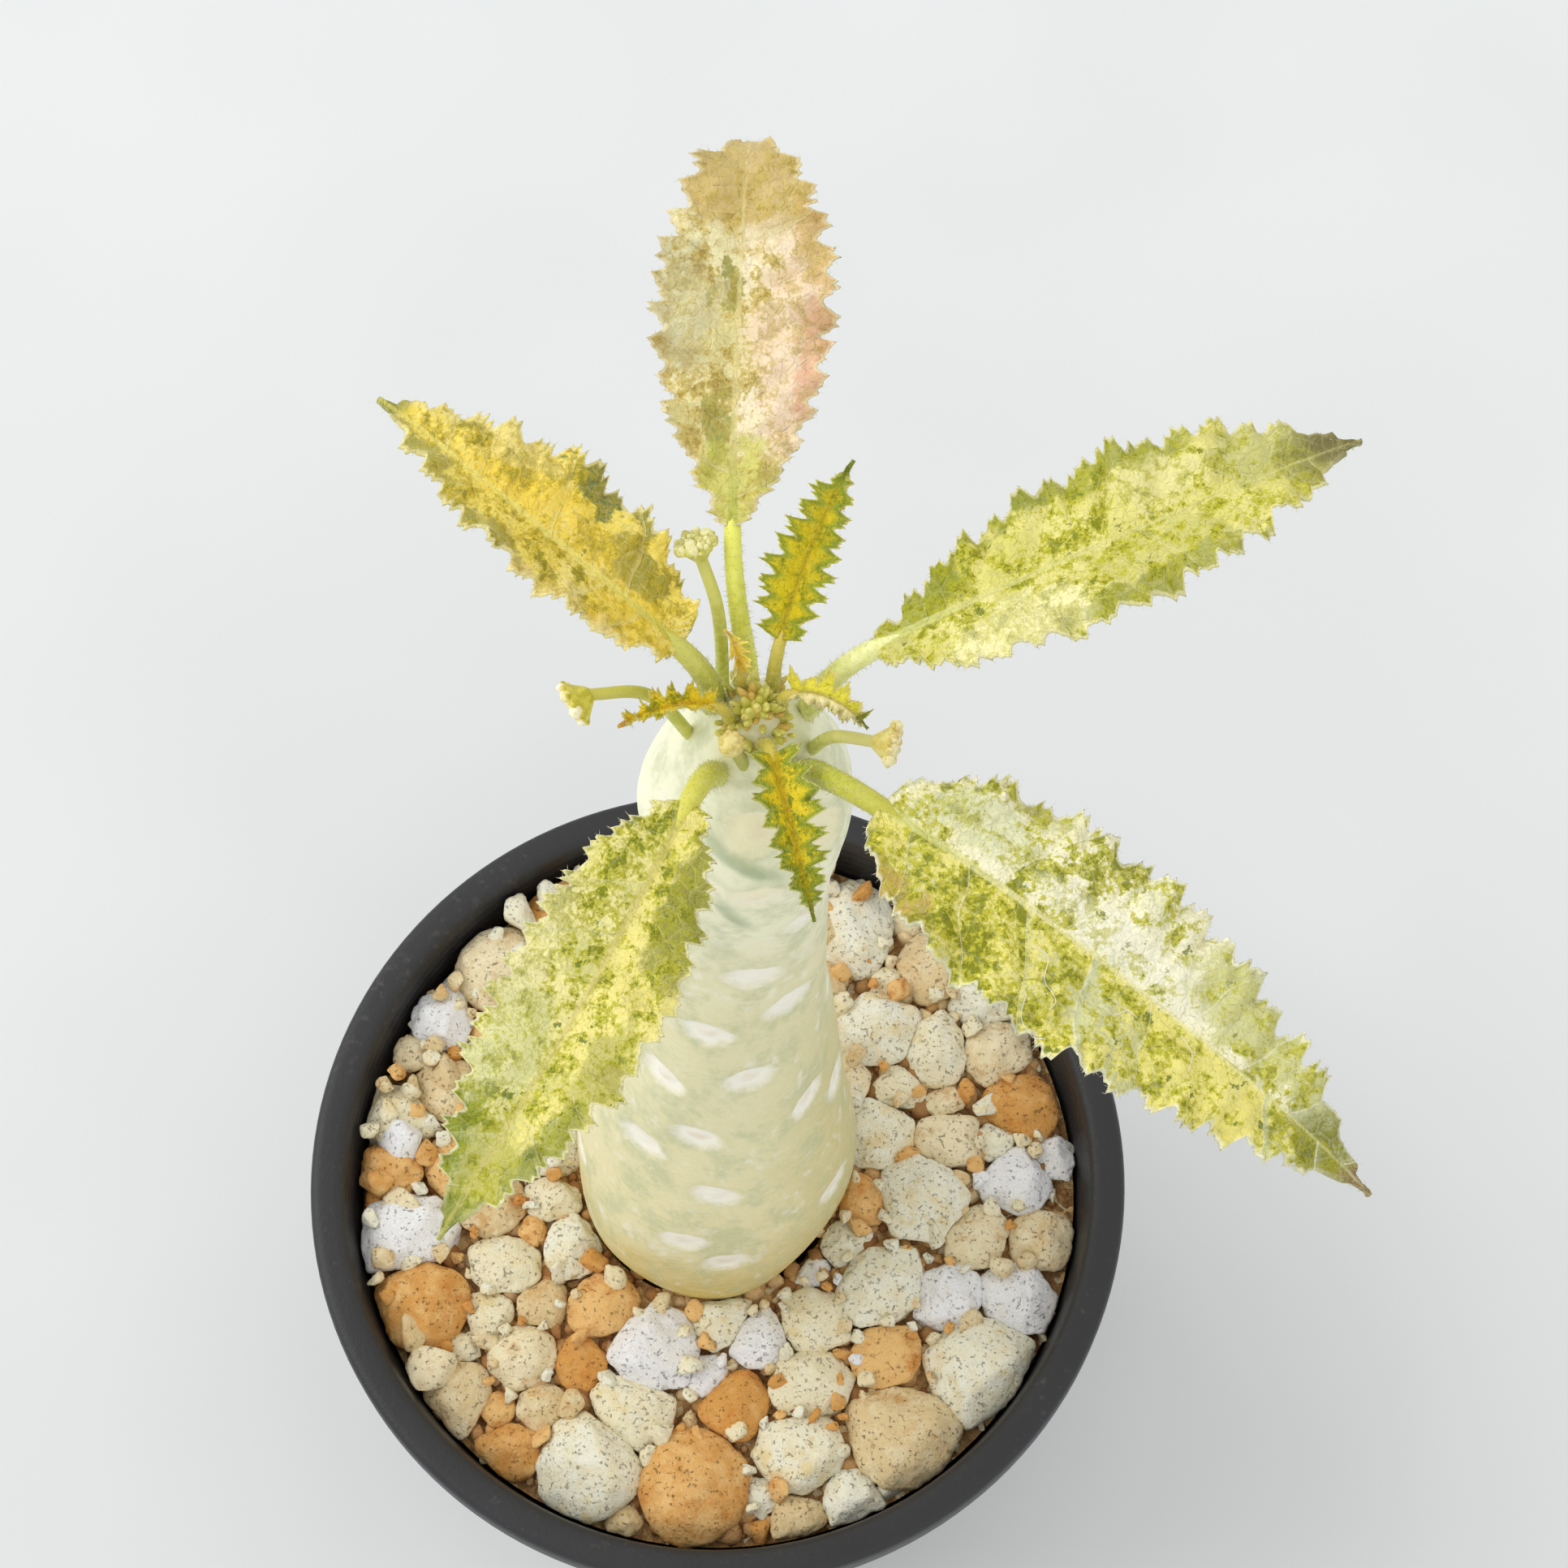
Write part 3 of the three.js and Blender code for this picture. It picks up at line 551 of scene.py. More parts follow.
# %% The stem's outline as a smooth curve
stem_outline = [
    (0, 44), (4.6, 45.6), (8.2, 50), (10.6, 56), (11.9, 62), (12.6, 70), (12.2, 80),
    (11, 92), (8.8, 110), (7.1, 126), (6.4, 141), (6.4, 152), (6.9, 160), (6.9, 165),
    (5.2, 171), (3.6, 174.6), (2.1, 177.4), (1, 178.7), (0, 179),
]
stem_foot = Vector((-0.7, 1.2, 62))
stem_tip = Vector((4.4, -0.4, 179))
seat_gap = 0.3


def between(first, second, start, end, t):
    """A point on the cubic that leaves the first point along start and reaches the second along end."""
    bend = (2 * first - 2 * second + start + end) * t**3
    return bend + (3 * second - 3 * first - 2 * start - end) * t**2 + start * t + first


def smooth_curve(points, steps):
    """Points along a smooth curve through the given points."""
    points = np.array(points, dtype=float)
    last = len(points) - 1
    result = []
    for place in np.linspace(0, last, steps + 1):
        i = min(int(place), last - 1)
        t = place - i
        p0, p1, p2, p3 = (points[min(max(i + k, 0), last)] for k in (-1, 0, 1, 2))
        start, end = (p2 - p0) / 2, (p3 - p1) / 2
        result.append(between(p1, p2, start, end, t))
    return np.array(result)


stem_curve = smooth_curve(stem_outline, 378)
stem_curve[0, 0] = stem_curve[-1, 0] = 0


def stem_radius(height):
    return float(np.interp(height, stem_curve[:, 1], stem_curve[:, 0]))


print("stem: radius at the swelling and the neck", [round(stem_radius(height), 1) for height in (70, 146)])

# %% [markdown]
# ## The bed of the mix
#
# Under the loose stones lies a packed bed of dark crumbs. It is a turned shape that fills the pot and
# rises a little towards the stem. The stem's hole is cut out of it with a copy of the stem's outline
# that is a seat's gap wider. The cut could be modelled as a ring from the start, but the stem stands a
# little off the middle of the pot, and a cut has no trouble with that.

# %% The bed
soil_edge, soil_middle, soil_radius = 60.2, 61.6, 33.2
bed_drop = 0.5


def soil_height(distance):
    return soil_middle + (soil_edge - soil_middle) * distance / inner_wall(soil_edge)


def pierced_tree():
    tree, given = new_tree("pierced_bed", Drill="object", Place=(0.0, 0.0, 0.0), Material="material")
    drill = add(tree, "GeometryNodeObjectInfo", {0: given["Drill"]}).outputs["Geometry"]
    moved = add(tree, "GeometryNodeTransform", {0: drill, "Translation": given["Place"]})
    return end_tree(tree, cut_away(tree, given["Geometry"], moved), given)


def bed_finish():
    """Damp crumbs of clay and bark: dark browns with reddish and pale specks."""
    bed = Finish("damp_mix", roughness=0.9, specular=0.25)
    cloud = bed.noise(2.5, detail=5, rough=0.7)
    tint = bed.mix(bed.step(cloud, 0.35, 0.65), (128, 90, 52), (190, 150, 98))
    cell = bed.parts(bed.cells(0.7, output=1))[0]
    tint = bed.mix(bed.step(cell, 0.7, 0.75), tint, (214, 178, 122))
    tint = bed.mix(bed.step(cell, 0.9, 0.93), tint, (222, 204, 166))
    relief = bed.maths("ADD", bed.cells(0.8), bed.noise(0.4, detail=3))
    return bed.done(Base_Color=tint, Normal=bed.bump(relief, 0.5))


low = floor_thickness + seat_gap
bed_outline = [
    (0, low), (inner_wall(low) - seat_gap, low),
    (soil_radius, soil_edge - bed_drop), (0, soil_middle - bed_drop),
]
bed_mesh = outwards(grow("bed", turned, outline_mesh(bed_outline), Sides=96))
drill_outline = [(radius + seat_gap * (radius > 0), height) for radius, height in stem_curve[:130]]
drill_outline.append((0, drill_outline[-1][1]))
drill_mesh = outwards(grow("drill", turned, outline_mesh(drill_outline), Sides=64))
drill = placed_object("drill", drill_mesh)
place = (stem_foot.x, stem_foot.y, 0.0)
bed_mesh = grow("bed", pierced_tree(), bed_mesh, Drill=drill, Place=place, Material=bed_finish())
bpy.data.objects.remove(drill)
finish_piece("soil_bed", [bed_mesh], "soil", crease=40)

# %% [markdown]
# ## The gravel: where the stones lie
# On top lies loose gravel of four kinds: white perlite, cream pumice, orange clay and tan clay. The
# stones that stand out are listed one by one. The rest are thrown at random, from large to small, and stay
# where there is room. Each stone is then given a few corner points that reach as far as its neighbours,
# the wall or the stem let it. These points are the same as in the solid, spread a little, because
# rounding the corners off makes a stone smaller.

# %% Where the stones lie and their corners
WHITE, CREAM, ORANGE, TAN = range(4)
marked_stones = [
    (-28.5, 17, 3.2, WHITE), (-29, -4.5, 4.2, WHITE), (-6, -16, 3.8, WHITE), (3.8, -14.6, 2.3, WHITE),
    (28, 0.3, 3, WHITE), (27.3, -10.4, 3, WHITE), (15, 14.8, 3.8, CREAM), (20.5, 12.6, 3.4, CREAM),
    (19.2, -1.3, 4, CREAM), (25, -18.3, 4.8, CREAM), (8, -25.4, 3.9, CREAM), (8.6, -18.6, 3.2, CREAM),
    (-11.5, -26, 5.3, CREAM), (-31, 6.2, 3, CREAM), (12.4, -30, 2.8, CREAM), (-22.8, 22, 4.3, TAN),
    (-16, 28, 3.8, ORANGE), (-29, -12, 4.4, ORANGE), (-2.5, -28, 5, ORANGE), (16.8, -23.6, 5.2, TAN),
    (29.6, -5.3, 2.7, TAN), (-23.5, -19.5, 3, TAN), (-30.3, 0.8, 3.1, ORANGE), (-8, -21.3, 3.4, CREAM),
    (1.6, -20.6, 2.7, ORANGE), (-17.6, -16.2, 3.2, TAN), (15, -9.6, 3.9, CREAM), (12.6, 25, 3.9, CREAM),
    (20.3, 21.6, 3.5, TAN), (25.6, 12.8, 3, TAN),
]
stone_tries, small_stone, large_stone = 4000, 1.4, 3.0
stone_spacing, stone_gap, stem_collar, gravel_seed = 0.85, 0.2, 12.4, 20
stone_rings = [(-0.6, 0.8, 3), (0.1, 1, 8), (0.5, 0.55, 3)]
least_width, width_spread, level_spread, turn_spread = 1.2, 0.25, 0.15, 0.4
rounding_room = 1.1
bank_middle, bank_width, bank_lift, bank_start = 140, 75, 2.2, 22.0
orange_left, orange_right, tan_share, not_white = 0.35, 0.15, 0.3, 0.9


def at_turn(distance, turn):
    return distance * math.cos(turn), distance * math.sin(turn)


def is_free(x, y, radius, others, spacing):
    """Whether a stone of this radius keeps its distance from all the others."""
    return all(math.hypot(px - x, py - y) > spacing * (pr + radius) for px, py, pr, *_ in others)


def stone_places():
    draw = random_from(gravel_seed)
    pick = random_from(gravel_seed + 7)
    places = []
    for x, y, radius, kind in marked_stones:
        inwards = min(1, (soil_radius - 0.8 * radius) / math.hypot(x, y))
        places.append((inwards * x, inwards * y, radius, kind))
    for i in range(stone_tries):
        radius = large_stone - (large_stone - small_stone) * i / stone_tries
        turn = 2 * math.pi * draw()
        x, y = at_turn((soil_radius - 0.6 * radius) * math.sqrt(draw()), turn)
        off_stem = math.hypot(x - stem_foot.x, y - stem_foot.y) > stem_collar + 0.6 * radius
        if off_stem and is_free(x, y, radius, places, stone_spacing):
            warm = orange_left if x < 0 else orange_right
            luck = pick()
            pale = CREAM if luck < not_white else WHITE
            kind = ORANGE if luck < warm else TAN if luck < warm + tan_share else pale
            places.append((x, y, radius, kind))
    return places


def room_around(place, turn, places):
    """How far a stone reaches one way before it meets the wall, the stem or a neighbour."""
    x, y, radius, _ = place
    ahead = np.array((math.cos(turn), math.sin(turn)))
    outwards = float(ahead @ (x, y))
    room = math.sqrt(outwards**2 + soil_radius**2 - x * x - y * y) - outwards
    meetings = [(np.array((stem_foot.x - x, stem_foot.y - y)), None)]
    meetings += [(np.array((px - x, py - y)), pr) for px, py, pr, _ in places if (px, py) != (x, y)]
    for towards, other in meetings:
        far = float(np.hypot(*towards))
        facing = float(ahead @ towards) / far
        limit = far - stem_collar if other is None else radius / (radius + other) * far - stone_gap / 2
        if facing > 0:
            room = min(room, limit / facing)
    return room


def bank_rise(x, y):
    """How much higher the stones are heaped against the wall at the back left."""
    off = (math.degrees(math.atan2(y, x)) - bank_middle + 180) % 360 - 180
    out = min(max((math.hypot(x, y) - bank_start) / (soil_radius - bank_start), 0), 1)
    return bank_lift * out * max(1 - (off / bank_width) ** 2, 0)


def stone_corners(place, places, draw):
    x, y, radius, _ = place
    height = soil_height(math.hypot(x, y)) + bank_rise(x, y)
    corners = []
    for level, width, count in stone_rings:
        spin = 2 * math.pi * draw()
        for k in range(count):
            turn = spin + 2 * math.pi * (k + turn_spread * draw()) / count
            full = radius * (least_width + width_spread * draw())
            out = rounding_room * width * min(full, room_around(place, turn, places))
            up = rounding_room * radius * (level + level_spread * draw())
            corners.append((x + out * math.cos(turn), y + out * math.sin(turn), height + up))
    return corners


places = stone_places()
draw = random_from(gravel_seed + 1)
corners = [stone_corners(place, places, draw) for place in places]
counts = [sum(place[3] == kind for place in places) for kind in range(4)]
print(len(places), "stones:", counts, "of each kind")

# %% [markdown]
# Small stones have rolled into the hollows between the large ones, and more of them along the wall. Each
# is a rough ball of corners, dropped where no large stone is in its way.

# %% Small stones in the hollows
small_tries, small_least, small_spread, small_corners, small_squash = 1700, 0.6, 1.0, 12, 0.8
hollow_depth, hollow_height, hollow_lift, hollow_width = 0.45, 1.1, 0.6, 1.2
wall_strip, wall_depth, wall_sink, more_orange = 2.5, 1.6, 0.35, 0.14
bank_tries, bank_least, bank_spread, bank_spacing, bank_height, bank_depth = 170, 0.9, 1.6, 0.8, 62.6, 4.0


def small_places():
    draw = random_from(gravel_seed + 3)
    found = []
    for _ in range(small_tries):
        radius = small_least + small_spread * draw() ** 2
        turn, distance = 2 * math.pi * draw(), (soil_radius + 0.4 - radius) * math.sqrt(draw())
        x, y = at_turn(distance, turn)
        luck, lift = draw(), draw()
        room = min(math.hypot(px - x, py - y) - pr for px, py, pr, _ in places)
        by_wall = distance > soil_radius - wall_strip
        off_stem = math.hypot(x - stem_foot.x, y - stem_foot.y) > stem_collar + 0.5 * radius
        deep = wall_depth if by_wall else hollow_depth
        if off_stem and is_free(x, y, radius, found, stone_spacing) and room > -deep:
            luck += more_orange if x < 0 else 0
            kind = WHITE if luck < 0.06 else CREAM if luck < 0.46 else TAN if luck < 0.74 else ORANGE
            proud = (hollow_height + hollow_lift * lift) * min(max(1 - room / hollow_width, 0), 1)
            proud = -wall_sink * radius if by_wall else proud
            height = soil_height(distance) + bank_rise(x, y) + proud
            found.append((x, y, radius, kind, height))
    return found


def bank_places():
    """A bank of stones against the wall at the back left, where the mix is heaped up to the lip."""
    draw = random_from(gravel_seed + 5)
    found = []
    for _ in range(bank_tries):
        radius = bank_least + bank_spread * draw() ** 2
        off = 2 * draw() - 1
        turn = math.radians(bank_middle + bank_width * off)
        inwards, luck, lift = bank_depth * draw() ** 1.5, draw(), draw()
        x, y = at_turn(inner_wall(bank_height) - 0.1 - radius - inwards, turn)
        if is_free(x, y, radius, found, bank_spacing):
            kind = WHITE if luck < 0.1 else CREAM if luck < 0.5 else TAN if luck < 0.78 else ORANGE
            height = bank_height + (1.5 + 0.5 * lift) * (1 - off * off) - 0.3 * inwards
            found.append((x, y, radius, kind, height))
    return found


def small_stone_corners(place, draw):
    x, y, radius, _, height = place
    result = []
    for _ in range(small_corners):
        level, turn = 2 * draw() - 1, 2 * math.pi * draw()
        flat, reach = math.sqrt(1 - level * level), radius * (0.9 + 0.4 * draw())
        out_x, out_y = at_turn(reach * flat, turn)
        result.append((x + out_x, y + out_y, height + small_squash * reach * level))
    return result


small = small_places() + bank_places()
draw = random_from(gravel_seed + 4)
small_hulls = [small_stone_corners(place, draw) for place in small]
print(len(small), "small stones")

# %% [markdown]
# ## The gravel: from corners to stones
#
# The recipe takes all the loose corners of one kind at once. It splits them by stone, stretches a skin
# round each group, rounds it, and roughens the surface with two sizes of noise. Moulding a few stones
# and copying them would be quicker, but copies show, and these have to fit their places.

# %% The recipe for stones
def stored(tree, name, kind="FLOAT"):
    """The value that the geometry carries under a name."""
    return add(tree, "GeometryNodeInputNamedAttribute", {"Name": name}, data_type=kind).outputs[0]


def store(tree, geometry, name, value, domain="POINT"):
    """Keeps a value on the geometry under a name."""
    inputs = {0: geometry, "Name": name, "Value": value}
    return add(tree, "GeometryNodeStoreNamedAttribute", inputs, data_type="FLOAT", domain=domain)


def chance(tree, seed, low=0.0, high=1.0, number=None):
    """A random number between two, or a random vector between two, for each element."""
    flat = not isinstance(low, tuple)
    inputs = {2 * flat: low, 2 * flat + 1: high, "Seed": seed}
    if number:
        inputs["ID"] = number
    drawn = add(tree, "FunctionNodeRandomValue", inputs, data_type="FLOAT" if flat else "FLOAT_VECTOR")
    return drawn.outputs["Value" if flat else 0]


def stones_tree():
    tree, given = new_tree(
        "stones", Level=3, Crease=0.4, Lumps=0.75, Grain=0.3, Seed=0.0, Material="material"
    )
    split = add(
        tree, "GeometryNodeSplitToInstances", {0: given["Geometry"], "Group ID": stored(tree, "stone")}
    )
    tint = chance(tree, 5, number=split.outputs["Group ID"])
    named = store(tree, split, "tint", tint, "INSTANCE")
    hull = add(tree, "GeometryNodeConvexHull", {0: named})
    real = add(tree, "GeometryNodeRealizeInstances", {0: hull})
    inputs = {0: real, "Level": given["Level"], "Edge Crease": given["Crease"]}
    smooth = add(tree, "GeometryNodeSubdivisionSurface", inputs)
    shift = add(tree, "ShaderNodeCombineXYZ", {0: given["Seed"]})
    where = vectors(tree, "ADD", add(tree, "GeometryNodeInputPosition"), shift)
    push = 0.0
    for size, key in ((1.6, "Lumps"), (0.45, "Grain")):
        cloud = add(tree, "ShaderNodeTexNoise", {"Vector": where, "Scale": 1 / size, "Detail": 2}).outputs[0]
        push = maths(tree, "MULTIPLY_ADD", maths(tree, "SUBTRACT", cloud, 0.5), given[key], push)
    along = vectors(tree, "SCALE", add(tree, "GeometryNodeInputNormal"), push)
    pushed = add(tree, "GeometryNodeSetPosition", {0: smooth, "Offset": along})
    return end_tree(tree, pushed, given)


def stone_finish(name, light, dark, stain, pore, pore_share, roughness):
    """A porous stone: two tones in clouds, a stain, open pores, and a shade of its own for each stone."""
    stone = Finish(name, roughness=roughness, specular=0.3)
    own = stone.attribute("tint")
    cloud = stone.maths("ADD", stone.noise(1.7, detail=4), stone.maths("MULTIPLY_ADD", own, 0.5, -0.25))
    tint = stone.mix(stone.step(cloud, 0.3, 0.7), dark, light)
    tint = stone.mix(stone.step(stone.noise(3.2, detail=5, rough=0.7), 0.52, 0.7), tint, stain)
    pores = 0.06 * pore_share
    hole = stone.step(stone.noise(0.42, detail=5, rough=0.7), 0.38 + pores, 0.3 + pores)
    tint = stone.over(tint, hole, pore, 0.4)
    speck = stone.step(stone.noise(0.22, detail=2), 0.6, 0.75)
    tint = stone.over(tint, speck, light, 0.5)
    relief = stone.maths("SUBTRACT", stone.noise(0.5, detail=6, rough=0.7), hole)
    return stone.done(Base_Color=tint, Normal=stone.bump(relief, 0.32))


stones = stones_tree()
kinds = [
    ("white", WHITE, 0.5, ((255, 255, 255), (248, 247, 246), (250, 244, 232), (216, 210, 198), 0.5, 0.85)),
    ("cream", CREAM, 0.45, ((255, 253, 232), (252, 242, 206), (246, 226, 170), (206, 178, 126), 0.6, 0.9)),
    ("orange", ORANGE, 0.35, ((250, 204, 134), (228, 166, 88), (216, 142, 68), (164, 102, 50), 0.4, 0.95)),
    ("tan", TAN, 0.4, ((254, 240, 200), (238, 212, 160), (222, 178, 116), (180, 136, 84), 0.5, 0.92)),
]
for shade, kind, crease, look in kinds:
    name = "gravel_" + shade
    chosen = [i for i, place in enumerate(places) if place[3] == kind]
    points = [corner for i in chosen for corner in corners[i]]
    number = [i for i in chosen for _ in corners[i]]
    start = mesh_from(name, points, stone=number)
    finish = stone_finish(name, *look)
    stone_mesh = grow(name, stones, start, Crease=crease, Seed=10.0 * kind, Material=finish)
    chosen = [i for i, place in enumerate(small) if place[3] == kind]
    points = [corner for i in chosen for corner in small_hulls[i]]
    start = mesh_from(name, points, stone=[i for i in chosen for _ in small_hulls[i]])
    small_mesh = grow(
        name, stones, start, Level=2, Crease=crease, Lumps=0.4, Seed=10.0 * kind + 5, Material=finish
    )
    finish_piece(name, [stone_mesh, small_mesh], "soil")

# %% [markdown]
# ## Crumbs between the stones
#
# Between the stones the mix shows as crumbs of clay and pumice under a millimetre or so. There are
# hundreds of them, so each has only a few faces: a rough ball, scattered over the top of the bed at
# random, turned and stretched at random, and sunk in by its own radius.

# %% The crumbs
def scatter(tree, given, chosen):
    """Points thrown at random over the chosen faces."""
    inputs = {0: given["Geometry"], "Selection": chosen, "Density": given["Density"], "Seed": given["Seed"]}
    return add(tree, "GeometryNodeDistributePointsOnFaces", inputs)


def crumbs_tree():
    tree, given = new_tree("crumbs", Density=0.7, Small=0.35, Large=1.4, Seed=3, Material="material")
    flat = maths(tree, "GREATER_THAN", parts(tree, add(tree, "GeometryNodeInputNormal"))[2], 0.5)
    scattered = scatter(tree, given, flat)
    ball = add(tree, "GeometryNodeMeshIcoSphere", {"Radius": 1.0, "Subdivisions": 1})
    size = chance(tree, 1, given["Small"], given["Large"])
    shape = chance(tree, 2, (0.6, 0.6, 0.5), (1.3, 1.3, 1.0))
    scale = vectors(tree, "SCALE", shape, size)
    spin = chance(tree, 3, (0, 0, 0), (6.3, 6.3, 6.3))
    crumbs = copies(tree, scattered, ball, spin, scale)
    return end_tree(tree, store(tree, crumbs, "tint", chance(tree, 4), "INSTANCE"), given)


def crumb_finish():
    crumb = Finish("crumbs", roughness=0.92, specular=0.25)
    own = crumb.attribute("tint")
    tint = crumb.mix(crumb.step(own, 0.1, 0.5), (146, 102, 60), (210, 168, 112))
    tint = crumb.mix(crumb.step(own, 0.7, 0.85), tint, (238, 214, 166))
    left = crumb.step(crumb.parts(crumb.place)[0], 4, -8)
    tint = crumb.over(tint, left, (178, 124, 72), 0.5)
    grain = crumb.noise(0.3, detail=3)
    tint = crumb.over(tint, crumb.step(grain, 0.4, 0.7), (140, 98, 56), 0.3)
    return crumb.done(Base_Color=tint, Normal=crumb.bump(grain, 0.15))


rim = stem_collar - 1.0
around = [2 * math.pi * k / 48 for k in range(48)]
ring_points = [
    (r * math.cos(t) + dx, r * math.sin(t) + dy, soil_height(r) - bed_drop)
    for r, dx, dy in ((soil_radius - 0.8, 0, 0), (rim, stem_foot.x, stem_foot.y))
    for t in around
]
ring_faces = [(k, (k + 1) % 48, 48 + (k + 1) % 48, 48 + k) for k in range(48)]
crumb_mesh = grow(
    "crumbs", crumbs_tree(), mesh_from("bed_top", ring_points, faces=ring_faces), Material=crumb_finish()
)
finish_piece("soil_crumbs", [crumb_mesh], "soil")

# %% [markdown]
# ## The stem
#
# The caudex is the plant's water store: a smooth, slightly wavy trunk with a thin pale skin, covered in
# round scars where old leaves stood. It could be a subdivided cylinder sculpted by hand. Its shape
# follows a rule, though: an outline turned about a leaning axis, with two slow swellings that wind
# round it. So a recipe makes it, and the scars are pushed up wherever the surface is near a scar's
# place. The distance to the nearest scar is kept on the mesh, because the finish needs it too.

# %% Where the leaf scars are
stem_swells = [(0.02, 3, 9), (0.012, 5, -6)]
marked_scars = [
    (142.5, -79), (129.9, -106), (117.2, -129), (133, -51), (120, -77),
    (107.5, -104), (101, -132), (108.5, -41), (95.2, -92), (82.8, -104),
    (170.7, -88.6), (162.5, -84.7), (163, -117.3), (152.7, -42.9), (167.4, -44),
]
furrow_paths = [
    [(170.5, -123.3), (169.4, -116.7), (168.4, -107.1), (167.3, -91.5), (166.4, -79.7), (165.3, -69.4)],
    [(162.6, -107.8), (160.6, -102.8), (157.7, -95.5), (153.7, -82.6)],
]
furrow_depth, furrow_fade = 0.18, 0.9
spiral_scars, lowest_scar, highest_scar, scar_spacing = 42, 72, 167, 7
golden_angle = math.radians(137.5)


def stem_axis(height):
    share = (height - stem_foot.z) / (stem_tip.z - stem_foot.z)
    axis = stem_foot.lerp(stem_tip, max(share, 0))
    return Vector((axis.x, axis.y, height))


def stem_point(height, turn):
    radius = stem_radius(height)
    waves = [share * radius * math.sin(count * turn + height / twist) for share, count, twist in stem_swells]
    reach = radius + sum(waves)
    return stem_axis(height) + Vector((reach * math.cos(turn), reach * math.sin(turn), 0))


def scar_places():
    marked = [(height, math.radians(degrees)) for height, degrees in marked_scars]
    places = list(marked)
    for k in range(spiral_scars):
        height = lowest_scar + (highest_scar - lowest_scar) * k / (spiral_scars - 1)
        turn = k * golden_angle
        across = [2 * stem_radius(height) * math.sin((turn - other) / 2) for _, other in marked]
        if all(math.hypot(a, height - h) > scar_spacing for a, (h, _) in zip(across, marked)):
            places.append((height, turn))
    return places


scars = scar_places()
print("scars on the stem:", len(scars))

# %% The recipe for the stem
def stem_tree():
    tree, given = new_tree(
        "caudex", Sides=150, Foot=(0.0, 0.0, 0.0), Tip=(0.0, 0.0, 1.0), Scars="object", Furrows="object",
        Furrow_Depth=0.18, Scar_Radius=1.75, Scar_Height=0.36, Dimple=0.2, Wrinkle=0.08, Material="material",
    )
    grid, radius, height, turn = turned_grid(tree, given["Geometry"], given["Sides"])
    foot, tip = parts(tree, given["Foot"])[2], parts(tree, given["Tip"])[2]
    share = maths(tree, "DIVIDE", maths(tree, "SUBTRACT", height, foot), maths(tree, "SUBTRACT", tip, foot))
    share = maths(tree, "MAXIMUM", share, 0.0)
    axis = add(
        tree, "ShaderNodeMix", {0: share, 4: given["Foot"], 5: given["Tip"]}, data_type="VECTOR",
        clamp_factor=False,
    ).outputs[1]
    swell = 1.0
    for part, count, twist in stem_swells:
        wave = maths(tree, "MULTIPLY_ADD", turn, count, maths(tree, "DIVIDE", height, twist))
        swell = maths(tree, "MULTIPLY_ADD", maths(tree, "SINE", wave), part, swell)
    flat = polar(tree, times(tree, radius, swell), turn, height)
    place = vectors(tree, "ADD", flat, vectors(tree, "MULTIPLY", axis, (1, 1, 0)))
    placed = add(tree, "GeometryNodeSetPosition", {0: grid, "Position": place})
    merged = add(tree, "GeometryNodeMergeByDistance", {0: placed, "Distance": 0.004})
    marks = add(tree, "GeometryNodeObjectInfo", {0: given["Scars"]}).outputs["Geometry"]
    far = add(tree, "GeometryNodeProximity", {0: marks}, target_element="POINTS").outputs["Distance"]
    here = add(tree, "GeometryNodeInputPosition")
    uneven = add(tree, "ShaderNodeTexNoise", {"Vector": here, "Scale": 0.7, "Detail": 1}).outputs[0]
    far = maths(tree, "MULTIPLY_ADD", maths(tree, "SUBTRACT", uneven, 0.5), 0.9, far)
    named = store(tree, merged, "scar", far)
    lines = add(tree, "GeometryNodeObjectInfo", {0: given["Furrows"]}).outputs["Geometry"]
    off = add(tree, "GeometryNodeProximity", {0: lines}, target_element="EDGES").outputs["Distance"]
    named = store(tree, named, "furrow", off)
    furrow = smooth_step(tree, off, 0.1, 0.8, 1.0, 0.0)
    edge = maths(tree, "ADD", given["Scar_Radius"], 0.55)
    pad = smooth_step(tree, far, maths(tree, "SUBTRACT", edge, 0.9), edge, 1.0, 0.0)
    dent = smooth_step(tree, far, 0.2, 1.2, 1.0, 0.0)
    stretched = vectors(tree, "MULTIPLY", here, (0.25, 0.25, 1.1))
    wrinkle = add(tree, "ShaderNodeTexNoise", {"Vector": stretched, "Scale": 1.0, "Detail": 3}).outputs[0]
    push = times(tree, pad, given["Scar_Height"])
    push = maths(tree, "SUBTRACT", push, times(tree, dent, given["Dimple"]))
    push = maths(tree, "SUBTRACT", push, times(tree, furrow, given["Furrow_Depth"]))
    push = maths(tree, "MULTIPLY_ADD", maths(tree, "SUBTRACT", wrinkle, 0.5), given["Wrinkle"], push)
    along = vectors(tree, "SCALE", add(tree, "GeometryNodeInputNormal"), push)
    pushed = add(tree, "GeometryNodeSetPosition", {0: named, "Offset": along})
    return end_tree(tree, pushed, given)


# %% [markdown]
# The skin is cream at the head and warmer and yellower towards the foot, with a fine net of grey-green
# under it. The scars are paler than the skin, with a darker ring and a small corky middle.

